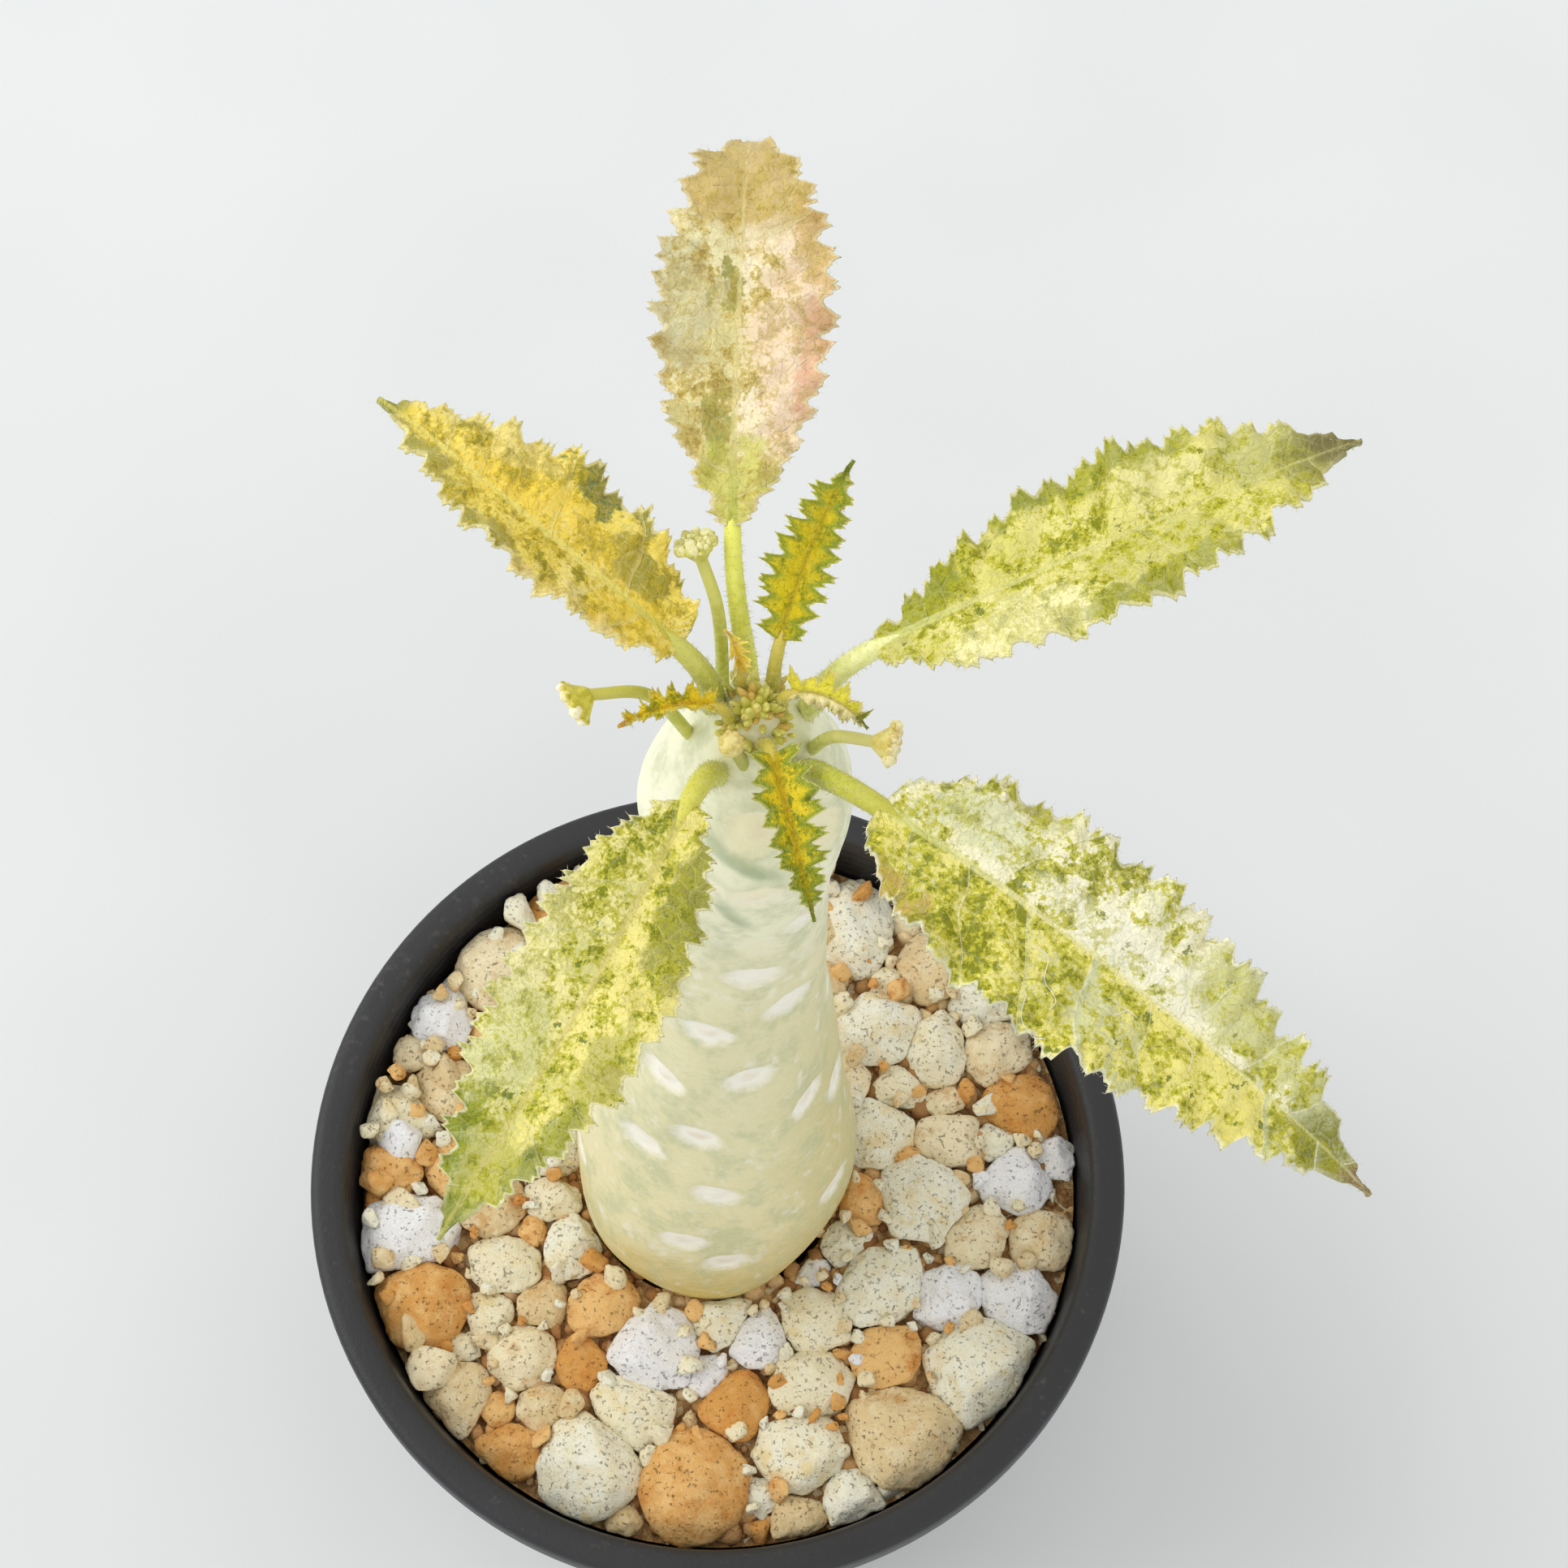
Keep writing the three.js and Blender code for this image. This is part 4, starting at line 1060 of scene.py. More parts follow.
# %% The stem's skin, and the stem
def stem_finish():
    skin = Finish("caudex_skin", roughness=0.58, specular=0.35)
    x, y, z = skin.parts(skin.place)
    cloud = skin.noise(6, detail=4)
    height = skin.stray(cloud, 22.0, z)
    tint = skin.mix(skin.step(height, 64, 82), (218, 196, 110), (237, 228, 180))
    tint = skin.mix(skin.step(height, 84, 112), tint, (231, 225, 180))
    tint = skin.mix(skin.step(height, 130, 164), tint, (245, 245, 214))
    # On the right, away from the window, the lower stem is painted a darker olive-yellow: partly the skin's
    # own colour, partly painted shade.
    side = skin.stray(cloud, 6.0, x)
    side = skin.times(skin.step(side, 2, 12), skin.step(z, 150, 95))
    tint = skin.over(tint, side, (202, 188, 120), 0.75)
    net = skin.cells(1.5, kind="DISTANCE_TO_EDGE")
    fine = skin.noise(0.9, detail=5, rough=0.65)
    tall = skin.shifted(skin.place, scale=(1, 1, 0.5))
    clouds = skin.noise(3.0, detail=4, rough=0.6, where=tall)
    green = skin.step(skin.maths("MULTIPLY_ADD", fine, 0.4, clouds), 0.62, 0.88)
    tint = skin.over(tint, green, (188, 196, 150), 0.55)
    tint = skin.over(tint, skin.step(net, 0.12, 0.0), (248, 246, 226), 0.12)
    pale = skin.step(skin.noise(1.6, detail=3, where=tall), 0.56, 0.72)
    tint = skin.over(tint, pale, (250, 247, 230), 0.5)
    far = skin.attribute("scar")
    ragged = skin.stray(fine, 1.2, far)
    ring = skin.times(skin.step(ragged, 3.3, 2.5), skin.step(ragged, 1.9, 2.5))
    head = skin.step(z, 156, 166)
    tint = skin.mix(skin.times(ring, skin.maths("MULTIPLY_ADD", head, 0.12, 0.2)), tint, (200, 204, 158))
    pad = skin.mix(head, (253, 250, 238), (250, 242, 204))
    tint = skin.mix(skin.times(skin.step(ragged, 2.7, 1.3), 0.85), tint, pad)
    cork = skin.times(skin.step(ragged, 1.1, 0.5), skin.step(cloud, 0.4, 0.65))
    tint = skin.over(tint, cork, (236, 214, 184), 0.6)
    off = skin.stray(fine, 0.7, skin.attribute("furrow"))
    tint = skin.over(tint, skin.step(off, 1.1, 0.1), (154, 172, 130), 0.6)
    relief = skin.maths("ADD", skin.times(fine, 0.8), skin.times(skin.step(net, 0.2, 0.0), 0.15))
    return skin.done(Base_Color=tint, Normal=skin.bump(relief, 0.08))


marks = placed_object("marks", mesh_from("marks", [stem_point(*scar) for scar in scars]))
points, chain = [], []
for path in furrow_paths:
    chain += [(len(points) + i, len(points) + i + 1) for i in range(len(path) - 1)]
    for k, (height, degrees) in enumerate(path):
        turn = math.radians(degrees)
        off = furrow_fade * (2 * k / (len(path) - 1) - 1) ** 2
        points.append(stem_point(height, turn) + off * Vector((math.cos(turn), math.sin(turn), 0)))
furrows = placed_object("furrows", mesh_from("furrows", points, edges=chain))
stem_mesh = grow(
    "stem", stem_tree(), outline_mesh(stem_curve), Foot=tuple(stem_foot), Tip=tuple(stem_tip),
    Scars=marks, Furrows=furrows, Furrow_Depth=furrow_depth, Material=stem_finish(),
)
for helper in (marks, furrows):
    bpy.data.objects.remove(helper)
finish_piece("stem_dressed", [stem_mesh], "stem")

# %% [markdown]
# ## Leaves: the rule that they share
#
# Every leaf is a midrib on a smooth arc, a width that swells and tapers along it, two halves folded up a
# little from the midrib, and a toothed and waved margin. The solids use this rule with five columns of
# points. The finer blades below use the same rule and the same random draws with some forty columns, so
# every tooth stands where the solid has it, and what is new is what happens between the points. Each
# row of the table gives: where the leaf stands on the crown (degrees, distance from the axis); three
# points of its midrib from the tip of the stem; the widths left and right; how early the widest place
# comes on each side; fold and roll in degrees; teeth a side; waves; how far the tip curls down; the
# petiole's radius; and the seed.

# %% The leaves
from collections import namedtuple
from mathutils.bvhtree import BVHTree
from mathutils.noise import noise as bpy_noise

Leaf = namedtuple("Leaf", "root base middle tip half peak fold roll teeth waves drop petiole seed")
large_leaves = {
    "leaf_left": Leaf((149, 3.5), (-4.6, 2, 4.3), (-13.4, 8.2, 8.8), (-22.6, 15.6, 10.6),
                      (4.2, 5.4), (0.74, 0.74), 16, 12, 12, 4.5, 0.5, 0.85, 11),
    "leaf_back": Leaf((89, 3.5), (-1.4, 9.2, 6), (-1.1, 20.2, 9.8), (-0.3, 34, 14.6),
                      (5.4, 6.1), (1.02, 1.02), 10, 0, 13, 5, 5.5, 0.68, 12),
    "leaf_right": Leaf((20, 3.5), (7.2, 2.3, 3.4), (21.6, 7.4, 8), (36.4, 13.7, 8.8),
                       (5.4, 5.6), (1.08, 0.84), 14, -4, 15, 5.5, 0.5, 0.85, 13),
    "leaf_front_right": Leaf((-33, 3.9), (7.4, -8.2, 4.1), (21.8, -19.1, 3.7), (35.7, -30.2, -0.7),
                             (6.5, 6.8), (0.68, 0.7), 9, 0, 16, 6, 0.8, 0.88, 14),
    "leaf_front_left": Leaf((-130, 3.7), (-4, -6.7, 0.9), (-10.7, -19.8, -0.5), (-18.7, -31.9, -4.5),
                            (5.5, 5.4), (0.84, 0.84), 12, 0, 14, 5.5, 0.8, 0.88, 15),
}
young_leaves = {
    "young_leaf_back_right": Leaf((55, 2.1), (1.5, 3, 3.3), (3.3, 7.8, 5.6), (5.9, 12.9, 7.5),
                                  (2.7, 2.6), (0.66, 0.66), 30, 0, 9, 0, 0, 0.5, 21),
    "young_leaf_front": Leaf((-86, 2.2), (1, -3.7, 1.1), (2.2, -8.8, 1.4), (3.5, -13.6, -0.8),
                             (2.6, 2.3), (0.6, 0.6), 37, 0, 8, 0, 0, 0.5, 22),
    "young_leaf_left": Leaf((196, 2), (-2.6, -0.8, 1.8), (-5.2, -1, 2.2), (-8.3, -1.8, 0.9),
                            (1.3, 1.3), (0.6, 0.6), 48, 0, 6, 0, 0, 0.45, 23),
    "young_leaf_right": Leaf((2, 2.15), (2.3, 0, 1.9), (4.6, -0.7, 2.6), (6.7, -1.9, 1),
                             (1.3, 1.3), (0.6, 0.6), 42, 0, 6, 0, 0, 0.45, 24),
    "young_leaf_back_left": Leaf((122, 2.1), (-1, 1.6, 2), (-1.3, 2.3, 3.6), (-1.9, 2.9, 4.9),
                                 (0.7, 0.7), (0.6, 0.6), 50, 0, 4, 0, 0, 0.4, 25),
}
large_tooth, young_tooth, tooth_lift, crisp_depth = 0.9, 1.1, 0.5, 0.13
petiole_taper, petiole_bend, petiole_reach = (1.0, 0.76, 0.36), 0.36, 0.08
root_inset, root_depth = 0.9, 1.2


def unit(arrows):
    arrows = np.asarray(arrows, dtype=float)
    return arrows / np.linalg.norm(arrows, axis=-1, keepdims=True)


def hump(value, width):
    """1 where a value is 0, and softly down to 0 on both sides of it."""
    return np.exp(-((value / width) ** 2))


def from_tip(point):
    return np.array(stem_tip) + np.array(point, dtype=float)


def root_point(degrees, distance):
    """A point just inside the domed tip, for a stalk to grow from."""
    turn = math.radians(degrees)
    down = stem_curve[::-1]
    height = float(down[np.argmax(down[:, 0] >= distance), 1])
    axis = stem_axis(height)
    x, y = at_turn(root_inset * distance, turn)
    return np.array((axis.x + x, axis.y + y, height - root_depth))


def bezier(knots, t):
    a, b, c = (np.asarray(knot, dtype=float) for knot in knots)
    t = np.asarray(t, dtype=float)[..., None]
    return (1 - t) ** 2 * a + 2 * t * (1 - t) * b + t**2 * c


def leaf_arcs(leaf):
    """The petiole and the midrib, each as the three knots of an arc."""
    base, middle, tip = from_tip(leaf.base), from_tip(leaf.middle), from_tip(leaf.tip)
    root = root_point(*leaf.root)
    bend = 2 * middle - (base + tip) / 2
    knee = base - petiole_bend * np.linalg.norm(base - root) * unit(bend - base)
    return (root, knee, base), (base, bend, tip)


def leaf_outline(share, peak):
    phase = np.clip(share, 0, 1) ** peak
    return np.sin(np.pi * phase) ** np.where(phase < 0.5, 0.6, 0.76)


print(len(large_leaves), "large and", len(young_leaves), "young leaves")

# %% [markdown]
# ## Leaves: the blade
#
# A leaf could be a flat card with a picture of its margin cut out, but it would fail from the side and
# as a solid. Here it is a real sheet with an upper and a lower face. Between a notch and a tooth the
# margin follows a power curve, which rounds the notch and sharpens the tooth, and the long flank of each
# tooth carries two smaller ones. The blade swells between the side veins like a quilt, and the midrib
# stands out below as a keel. Each point keeps its place along and across the leaf, its distance from
# the margin and its place between the side veins, for the finish to draw with.

# %% Margin and veins of a blade
half_columns = np.array([
    0, 0.025, 0.06, 0.1, 0.15, 0.21, 0.28, 0.35, 0.42, 0.49,
    0.56, 0.63, 0.7, 0.77, 0.83, 0.88, 0.92, 0.955, 0.98, 1,
])
vein_angle, vein_bow, veins_a_side = math.radians(72), 0.035, 8.5
smooth_from, smooth_cut = 0.84, 0.8
blade_depth, edge_depth, crisping, crisp_length = 0.46, 0.2, 0.8, 1.3
quilt_height, ridge_height, lump_height, grain_height = 0.42, 0.2, 0.34, 0.14


def blade_margin(leaf, tooth_depth, finer, length):
    """Along each margin, row by row: how much is cut off the width, pushed forward and lifted."""
    draw = random_from(leaf.seed)
    rows = 2 * leaf.teeth + 1
    phase = (2 * math.pi * draw(), 2 * math.pi * draw())
    drawn = np.array([[(draw(), draw()) for _ in range(5)] for _ in range(rows + 1)])
    own = random_from(leaf.seed + 200)
    step = length / rows
    place = np.arange(rows * finer + 1) / finer
    before = np.minimum(place.astype(int), rows - 1)
    ahead = place - before
    is_tooth = np.arange(rows + 1) % 2 == 1
    sides = []
    for side, column in ((0, 0), (1, 4)):
        jag, lean = drawn[:, column, 0], drawn[:, column, 1]
        width = leaf.half[side] * leaf_outline(np.arange(rows + 1) / rows, leaf.peak[side])
        cut = np.minimum(tooth_depth * np.where(is_tooth, -0.25 * jag, 0.65 + 0.5 * jag), 0.5 * width)
        push = step * np.where(is_tooth, 0.25 + 0.35 * lean, -0.25 * lean)
        push[[0, -1]] = 0
        lift = tooth_lift * (jag - 0.5)
        rising = ~is_tooth[before]
        sharp = np.where(rising, ahead, 1 - ahead) ** 1.6
        notch = np.where(rising, before, before + 1)
        tooth = np.where(rising, before + 1, before)
        fine_cut = cut[notch] + (cut[tooth] - cut[notch]) * sharp
        fine_push = push[before] + (push[before + 1] - push[before]) * ahead
        fine_lift = lift[before] + (lift[before + 1] - lift[before]) * (3 - 2 * ahead) * ahead**2
        spin = 20 * own()
        crisp = [bpy_noise(Vector((at * length / rows / crisp_length, spin, 0))) for at in place]
        fine_lift += crisping * np.array(crisp)
        for at in (0.3, 0.64):
            height = np.array([tooth_depth * (0.1 + 0.85 * own()) for _ in range(rows)])[before]
            at = np.array([at + 0.1 * (own() - 0.5) for _ in range(rows)])[before]
            rise = np.clip(1 - (at - ahead) / 0.26, 0, 1) ** 1.5 * (ahead <= at)
            fall = np.clip(1 - (ahead - at) / 0.14, 0, 1) * (ahead > at)
            fine_cut -= np.where(rising, height * (rise + fall), 0)
        smooth = np.clip((place / rows - smooth_from) / 0.08, 0, 1)
        fine_cut += smooth * (smooth_cut * tooth_depth - fine_cut)
        sides.append((fine_cut, fine_push, fine_lift))
    return place / rows, phase, sides


def blade_mesh(name, leaf, tooth_depth, finer, columns, material):
    """A toothed, quilted blade as a closed sheet with an upper and a lower face."""
    rib = leaf_arcs(leaf)[1]
    fine = bezier(rib, np.linspace(0, 1, 201))
    lengths = np.concatenate([[0], np.cumsum(np.linalg.norm(np.diff(fine, axis=0), axis=1))])
    length = lengths[-1]
    share, phase, sides = blade_margin(leaf, tooth_depth, finer, length)
    t = np.interp(share * length, lengths, np.linspace(0, 1, 201))
    centre = bezier(rib, t)
    centre[:, 2] -= leaf.drop * np.clip((share - 0.8) / 0.2, 0, None) ** 2
    a, b, c = (np.array(knot) for knot in rib)
    along = unit(2 * (1 - t)[:, None] * (b - a) + 2 * t[:, None] * (c - b))
    left = unit(np.cross((0, 0, 1), along))
    roll = math.radians(leaf.roll)
    left = left * math.cos(roll) + np.cross(along, left) * math.sin(roll)
    up = np.cross(along, left)
    fold = math.radians(leaf.fold)
    spread = np.concatenate([columns[::-1], -columns[1:]])
    scale = max(leaf.half) / 6.0
    lump = random_from(leaf.seed + 300)
    shift = Vector((50 * lump(), 50 * lump(), 50 * lump()))
    upper, lower, facts = [], [], []
    for v in spread:
        side = 0 if v > 0 else 1
        a = abs(v)
        cut, push, lift = sides[side]
        full = leaf.half[side] * leaf_outline(share, leaf.peak[side])
        blend = np.clip((a - 0.3) / 0.7, 0, 1) ** 1.2
        least = a * (0.5 - 0.36 * share)
        half = np.maximum(a * full - blend * cut, least)
        edge = np.maximum(full - cut, 0.3) - half
        wave = crisp_depth * half * a * a * np.sin(2 * math.pi * leaf.waves * share + phase[side])
        wave = wave + blend * lift * np.clip(2 * full / max(leaf.half), 0, 1)
        ahead = share * length + blend * push * ((share > 0) & (share < 1))
        spacing = length / veins_a_side
        vein = (ahead - half / math.tan(vein_angle) - vein_bow * half**2 / scale) / spacing + 0.45 * side
        stray = [bpy_noise(Vector((s * 0.16, h * 0.35, 9 * side)) + shift) for s, h in zip(ahead, half)]
        vein = vein + 0.2 * np.array(stray)
        off_vein = np.abs(vein - np.round(vein)) * spacing
        quilt = (1 - hump(off_vein, 0.7 * scale)) * (1 - hump(half, 1.2 * scale))
        quilt = scale * quilt_height * quilt * (1 - 0.8 * a**3)
        rib_width = scale * (0.75 - 0.55 * share)
        ridge = scale * ridge_height * hump(half, rib_width) * (1 - 0.6 * share)
        depth = scale**0.5 * (blade_depth + (edge_depth - blade_depth) * a**1.5)
        keel = leaf.petiole * (0.95 * (1 - share) ** 0.7 + 0.1)
        keel = keel * np.sqrt(np.clip(1 - (half / keel) ** 2, 0, 1)) if a < 0.3 else 0 * share
        point = centre + (np.sign(v) * half * math.cos(fold))[:, None] * left
        rise, forth = half * math.sin(fold) + wave, ahead - share * length
        point = point + rise[:, None] * up + forth[:, None] * along
        lumps = np.array([bpy_noise(Vector(p) * 0.8 + shift) for p in point]) * lump_height
        grain = np.array([bpy_noise(Vector(p) * 1.7 + shift) for p in point])
        lumps += grain * (grain_height + 0.24 * a * a)
        lumps *= scale * min(1, 3 * a)
        upper.append(point + (depth / 2 + quilt + ridge + lumps)[:, None] * up)
        lower.append(point + (-depth / 2 - keel + 0.8 * quilt + lumps)[:, None] * up)
        facts.append(np.stack([ahead, np.sign(v) * half, share, edge, vein], axis=1))
    return sheet_mesh(name, upper, lower, facts, material)


def sheet_mesh(name, upper, lower, facts, material):
    """Stitches the two faces of a sheet together round its rim."""
    upper, lower, facts = (np.stack(part, axis=1) for part in (upper, lower, facts))
    rows, columns = upper.shape[:2]
    index = np.arange(rows * columns).reshape(rows, columns)
    quads = np.stack([index[:-1, :-1], index[:-1, 1:], index[1:, 1:], index[1:, :-1]], axis=-1).reshape(-1, 4)
    under = rows * columns
    rim = np.concatenate([index[0, :-1], index[:-1, -1], index[-1, :0:-1], index[:0:-1, 0]])
    around = np.roll(rim, -1)
    walls = np.stack([rim, rim + under, around + under, around], axis=1)
    faces = np.concatenate([quads, quads[:, ::-1] + under, walls])
    points = np.concatenate([upper.reshape(-1, 3), lower.reshape(-1, 3)])
    known = np.concatenate([facts.reshape(-1, 5)] * 2)
    below = np.repeat([0.0, 1.0], under)
    mesh = mesh_from(
        name, points.tolist(), faces=faces.tolist(), leaf=np.stack([known[:, 0], known[:, 1], below], axis=1),
        share=known[:, 2], edge=known[:, 3], vein=known[:, 4],
    )
    mesh.shade_smooth()
    mesh.materials.append(material)
    return mesh


# %% [markdown]
# ## Stalks and petioles
#
# A petiole, the stalk of a flower head and a lint thread are all round things that follow a path. One
# recipe makes them: the path is a chain of points, each with its own radius, and a circle is carried
# along it. Caps close the ends.

# %% The recipe for stalks
def stalk_tree():
    tree, given = new_tree("stalk", Sides=14, Material="material")
    curve = add(tree, "GeometryNodeMeshToCurve", {0: given["Geometry"]})
    circle = add(tree, "GeometryNodeCurvePrimitiveCircle", {"Resolution": given["Sides"], "Radius": 1.0})
    inputs = {"Curve": curve, "Profile Curve": circle, "Scale": stored(tree, "radius"), "Fill Caps": True}
    return end_tree(tree, add(tree, "GeometryNodeCurveToMesh", inputs), given)


stalk = stalk_tree()


def stalk_mesh(name, points, radii, material, sides=14):
    chain = [(i, i + 1) for i in range(len(points) - 1)]
    reach = np.concatenate([[0], np.cumsum(np.linalg.norm(np.diff(points, axis=0), axis=1))])
    start = mesh_from(name, points, edges=chain, radius=radii, reach=reach / reach[-1])
    return grow(name, stalk, start, Sides=sides, Material=material)


# %% [markdown]
# Some stalks and threads bend through several points. Their path is a curve that passes through all of
# them, with the tempo of each stretch set by its length, so that a short stretch doesn't loop.

# %% Paths through points, and petioles
outer_steps, inner_steps, foot_taper, foot_steps = 15, 5, 0.5, 1.6


def path_through(points, steps):
    """Points along a curve that passes through all the given points."""
    points = [np.array(point, dtype=float) for point in points]
    points = [2 * points[0] - points[1], *points, 2 * points[-1] - points[-2]]
    result = [points[1]]
    for p0, p1, p2, p3 in zip(points, points[1:], points[2:], points[3:]):
        d0, d1, d2 = (np.linalg.norm(b - a) ** 0.5 for a, b in ((p0, p1), (p1, p2), (p2, p3)))
        start = d1 * ((p1 - p0) / d0 - (p2 - p0) / (d0 + d1) + (p2 - p1) / d1)
        end = d1 * ((p2 - p1) / d1 - (p3 - p1) / (d1 + d2) + (p3 - p2) / d2)
        for t in np.linspace(0, 1, steps + 1)[1:]:
            result.append(between(p1, p2, start, end, t))
    return np.array(result)


def petiole_mesh(name, leaf, material):
    """The petiole, from inside the crown to where it thins out in the blade."""
    petiole, rib = leaf_arcs(leaf)
    points = bezier(petiole, np.linspace(0, 1, outer_steps))
    inner = bezier(rib, np.linspace(0, petiole_reach, inner_steps)[1:])
    outer_radii = np.linspace(*petiole_taper[:2], outer_steps)
    radii = np.concatenate([outer_radii, np.linspace(*petiole_taper[1:], inner_steps)[1:]])
    radii *= 1 - foot_taper * hump(np.arange(len(radii)), foot_steps)
    return stalk_mesh(name, np.concatenate([points, inner]), leaf.petiole * radii, material)


# %% [markdown]
# ## The finish of a leaf
#
# This plant is variegated: parts of each leaf have little or no green in them. What shows is a ground
# of cream or pale yellow, a thin grey-green film in places, islands of green with ragged edges, and a
# few solid dark green patches. Pale veins run over it all, and the margin has a thin cream line that
# fades towards the tip. These are layers, with colours and amounts for each leaf. They are drawn in
# the leaf's own millimetres, along and across, so that they follow its bend. Where one leaf has a
# stain of its own, it is a soft spot with a place, a size and a colour. Light that shines through a leaf
# makes it brighter than its surface alone: the glow at the end stands for that.

# %% The leaf finish
leaf_glow = 1.13


def leaf_finish(name, seed, ground, film, green, dark, rib, tip, spots=(), vein_gap=4.5, veined=0.6,
                rib_width=(0.4, 0.08), rib_blur=0.06, rim=((0, 0, 0), 0, 0.6), size=1.0):
    leaf = Finish(name, roughness=0.47, specular=0.35)
    place = leaf.attribute("leaf", "Vector")
    along, across, under = leaf.parts(place)
    share, edge, vein = leaf.attribute("share"), leaf.attribute("edge"), leaf.attribute("vein")
    where = leaf.shifted(place, offset=(0, 0, 7.3 * seed), scale=(1, 1, 0))
    side = leaf.step(across, -0.25, 0.25)
    grain = leaf.noise(0.42 * size, detail=5, rough=0.75, where=where)
    patch = leaf.noise(1.8 * size, detail=4, rough=0.65, where=where)
    wide = leaf.noise(6 * size, detail=2, where=where)
    bulk = leaf.noise(1.7 * size, detail=5, rough=0.62, where=leaf.shifted(where, offset=(5, 3, 0)))
    cell = leaf.parts(leaf.cells(0.85 * size, where=where, output=1))[0]

    def amount(pair, value):
        """How far a value is over the level that gives each half of the leaf its own share."""
        level = leaf.maths("MULTIPLY_ADD", side, pair[0] - pair[1], pair[1] - 0.5)
        return leaf.maths("ADD", value, level)

    # Between two side veins the leaf keeps to one mood, more or less green than its neighbours.
    half = leaf.maths("MULTIPLY_ADD", leaf.maths("SIGN", across), 40.0, seed + 0.5)
    mood, leafy, _ = leaf.dice(leaf.maths("ADD", leaf.maths("FLOOR", vein), half))
    from_vein = leaf.maths("SUBTRACT", vein, leaf.maths("ROUND", vein))
    strong = leaf.dice(leaf.maths("ADD", leaf.maths("ROUND", vein), half))[2]
    mottle = leaf.stray(leafy, 0.22 * veined, leaf.stray(cell, 0.2, leaf.stray(patch, 0.95, grain)))
    # The ground has a tone for each half of the leaf, a second tone in wide clouds, and soft stains.
    (left_ground, right_ground), second, ground_share = ground
    tint = leaf.mix(side, right_ground, left_ground)
    tint = leaf.over(tint, leaf.step(wide, 0.42, 0.6), second, ground_share)
    ragged_along, ragged_across = leaf.stray(patch, 8.0 * size, along), leaf.stray(bulk, 5.0 * size, across)
    stains = []
    for at, off, radius, stain, strength in spots:
        far_along = leaf.times(leaf.maths("SUBTRACT", ragged_along, at), 1 / radius[0])
        far_across = leaf.times(leaf.maths("SUBTRACT", ragged_across, off), 1 / radius[1])
        far = leaf.maths("MULTIPLY_ADD", far_along, far_along, leaf.times(far_across, far_across))
        stains.append((leaf.step(leaf.stray(grain, 0.9, far), 1.3, 0.5), stain, strength))
        tint = leaf.over(tint, *stains[-1])
    # Over it lie the film, the islands of green and the few dark patches.
    haze = leaf.noise(0.28 * size, detail=3, rough=0.6, where=leaf.shifted(where, offset=(31, 0, 0)))
    haze = leaf.stray(mood, 0.5 * veined, leaf.stray(wide, 1.1, haze))
    film_colour, film_share = film
    tint = leaf.over(tint, leaf.step(amount(film_share, haze), 0.46, 0.64), film_colour, 0.75)
    green_colour, deep_colour, green_share = green
    level = amount(green_share, mottle)
    tint = leaf.over(tint, leaf.step(level, 0.465, 0.535), green_colour, 0.9)
    tint = leaf.over(tint, leaf.step(level, 0.6, 0.68), deep_colour, 0.92)
    dark_colour, dark_share = dark
    rare = 0.75 - 0.45 * dark_share
    tint = leaf.over(tint, leaf.step(bulk, rare - 0.01, rare + 0.01), dark_colour, 0.85)
    for mask, stain, strength in stains:
        tint = leaf.over(tint, mask, stain, 0.5 * strength)
    # The rim and the tip have colours of their own.
    rim_colour, rim_share, rim_width = rim
    strip = leaf.step(leaf.stray(mottle, 1.3 * rim_width, edge), rim_width, 0.25 * rim_width)
    tint = leaf.over(tint, strip, rim_colour, rim_share)
    tip_colour, tip_start = tip
    at_tip = leaf.step(leaf.stray(patch, 0.12, share), tip_start, tip_start + 0.05)
    tint = leaf.over(tint, at_tip, tip_colour, 0.85)
    # The side veins, a painted shadow along one side of each, a fine net, the midrib and the margin line run
    # over all of these.
    net = leaf.cells(1.7 * size, kind="DISTANCE_TO_EDGE", where=where)
    fine_net = leaf.cells(0.6 * size, kind="DISTANCE_TO_EDGE", where=where)
    rib_base, rib_tip, pale = rib
    off = leaf.times(leaf.maths("ABSOLUTE", from_vein), vein_gap)
    line = leaf.step(leaf.stray(grain, 0.25 * size, off), 0.13 * size, 0.03 * size)
    # A band of the film colour on one side of each side vein is a painted shadow of the raised vein, where the
    # leaf has film.
    painted_vein_shade = leaf.times(leaf.step(off, 0.8 * size, 0.15 * size), leaf.step(from_vein, -0.01, 0.01))
    painted_vein_shade = leaf.times(painted_vein_shade, leaf.step(amount(film_share, mood), 0.42, 0.95))
    tint = leaf.over(tint, painted_vein_shade, film_colour, veined)
    tint = leaf.over(tint, leaf.step(fine_net, 0.06, 0.0), pale, 0.1)
    tint = leaf.over(tint, leaf.step(net, 0.05, 0.01), pale, 0.12)
    broken = leaf.times(leaf.step(strong, -0.6, 0.6), leaf.step(patch, 0.22, 0.5))
    broken = leaf.times(broken, leaf.step(amount(film_share, mood), 0.0, 0.75))
    tint = leaf.over(tint, leaf.times(line, broken), pale, 0.8 * veined)
    tapered = leaf.maths("POWER", share, 0.5)
    width = leaf.maths("MULTIPLY_ADD", tapered, rib_width[1] - rib_width[0], rib_width[0])
    midrib = leaf.step(leaf.maths("SUBTRACT", width, leaf.maths("ABSOLUTE", across)), -rib_blur, 2 * rib_blur)
    midrib = leaf.times(midrib, leaf.maths("MULTIPLY_ADD", share, -0.35, 0.8))
    tint = leaf.mix(midrib, tint, leaf.mix(leaf.step(share, 0.0, 0.3), rib_base, rib_tip))
    margin = leaf.times(leaf.step(edge, 0.38 * size, 0.12 * size), leaf.step(share, 0.96, 0.86))
    tint = leaf.over(tint, margin, pale, 0.75)
    tint = leaf.over(tint, under, (196, 204, 150), 0.35)
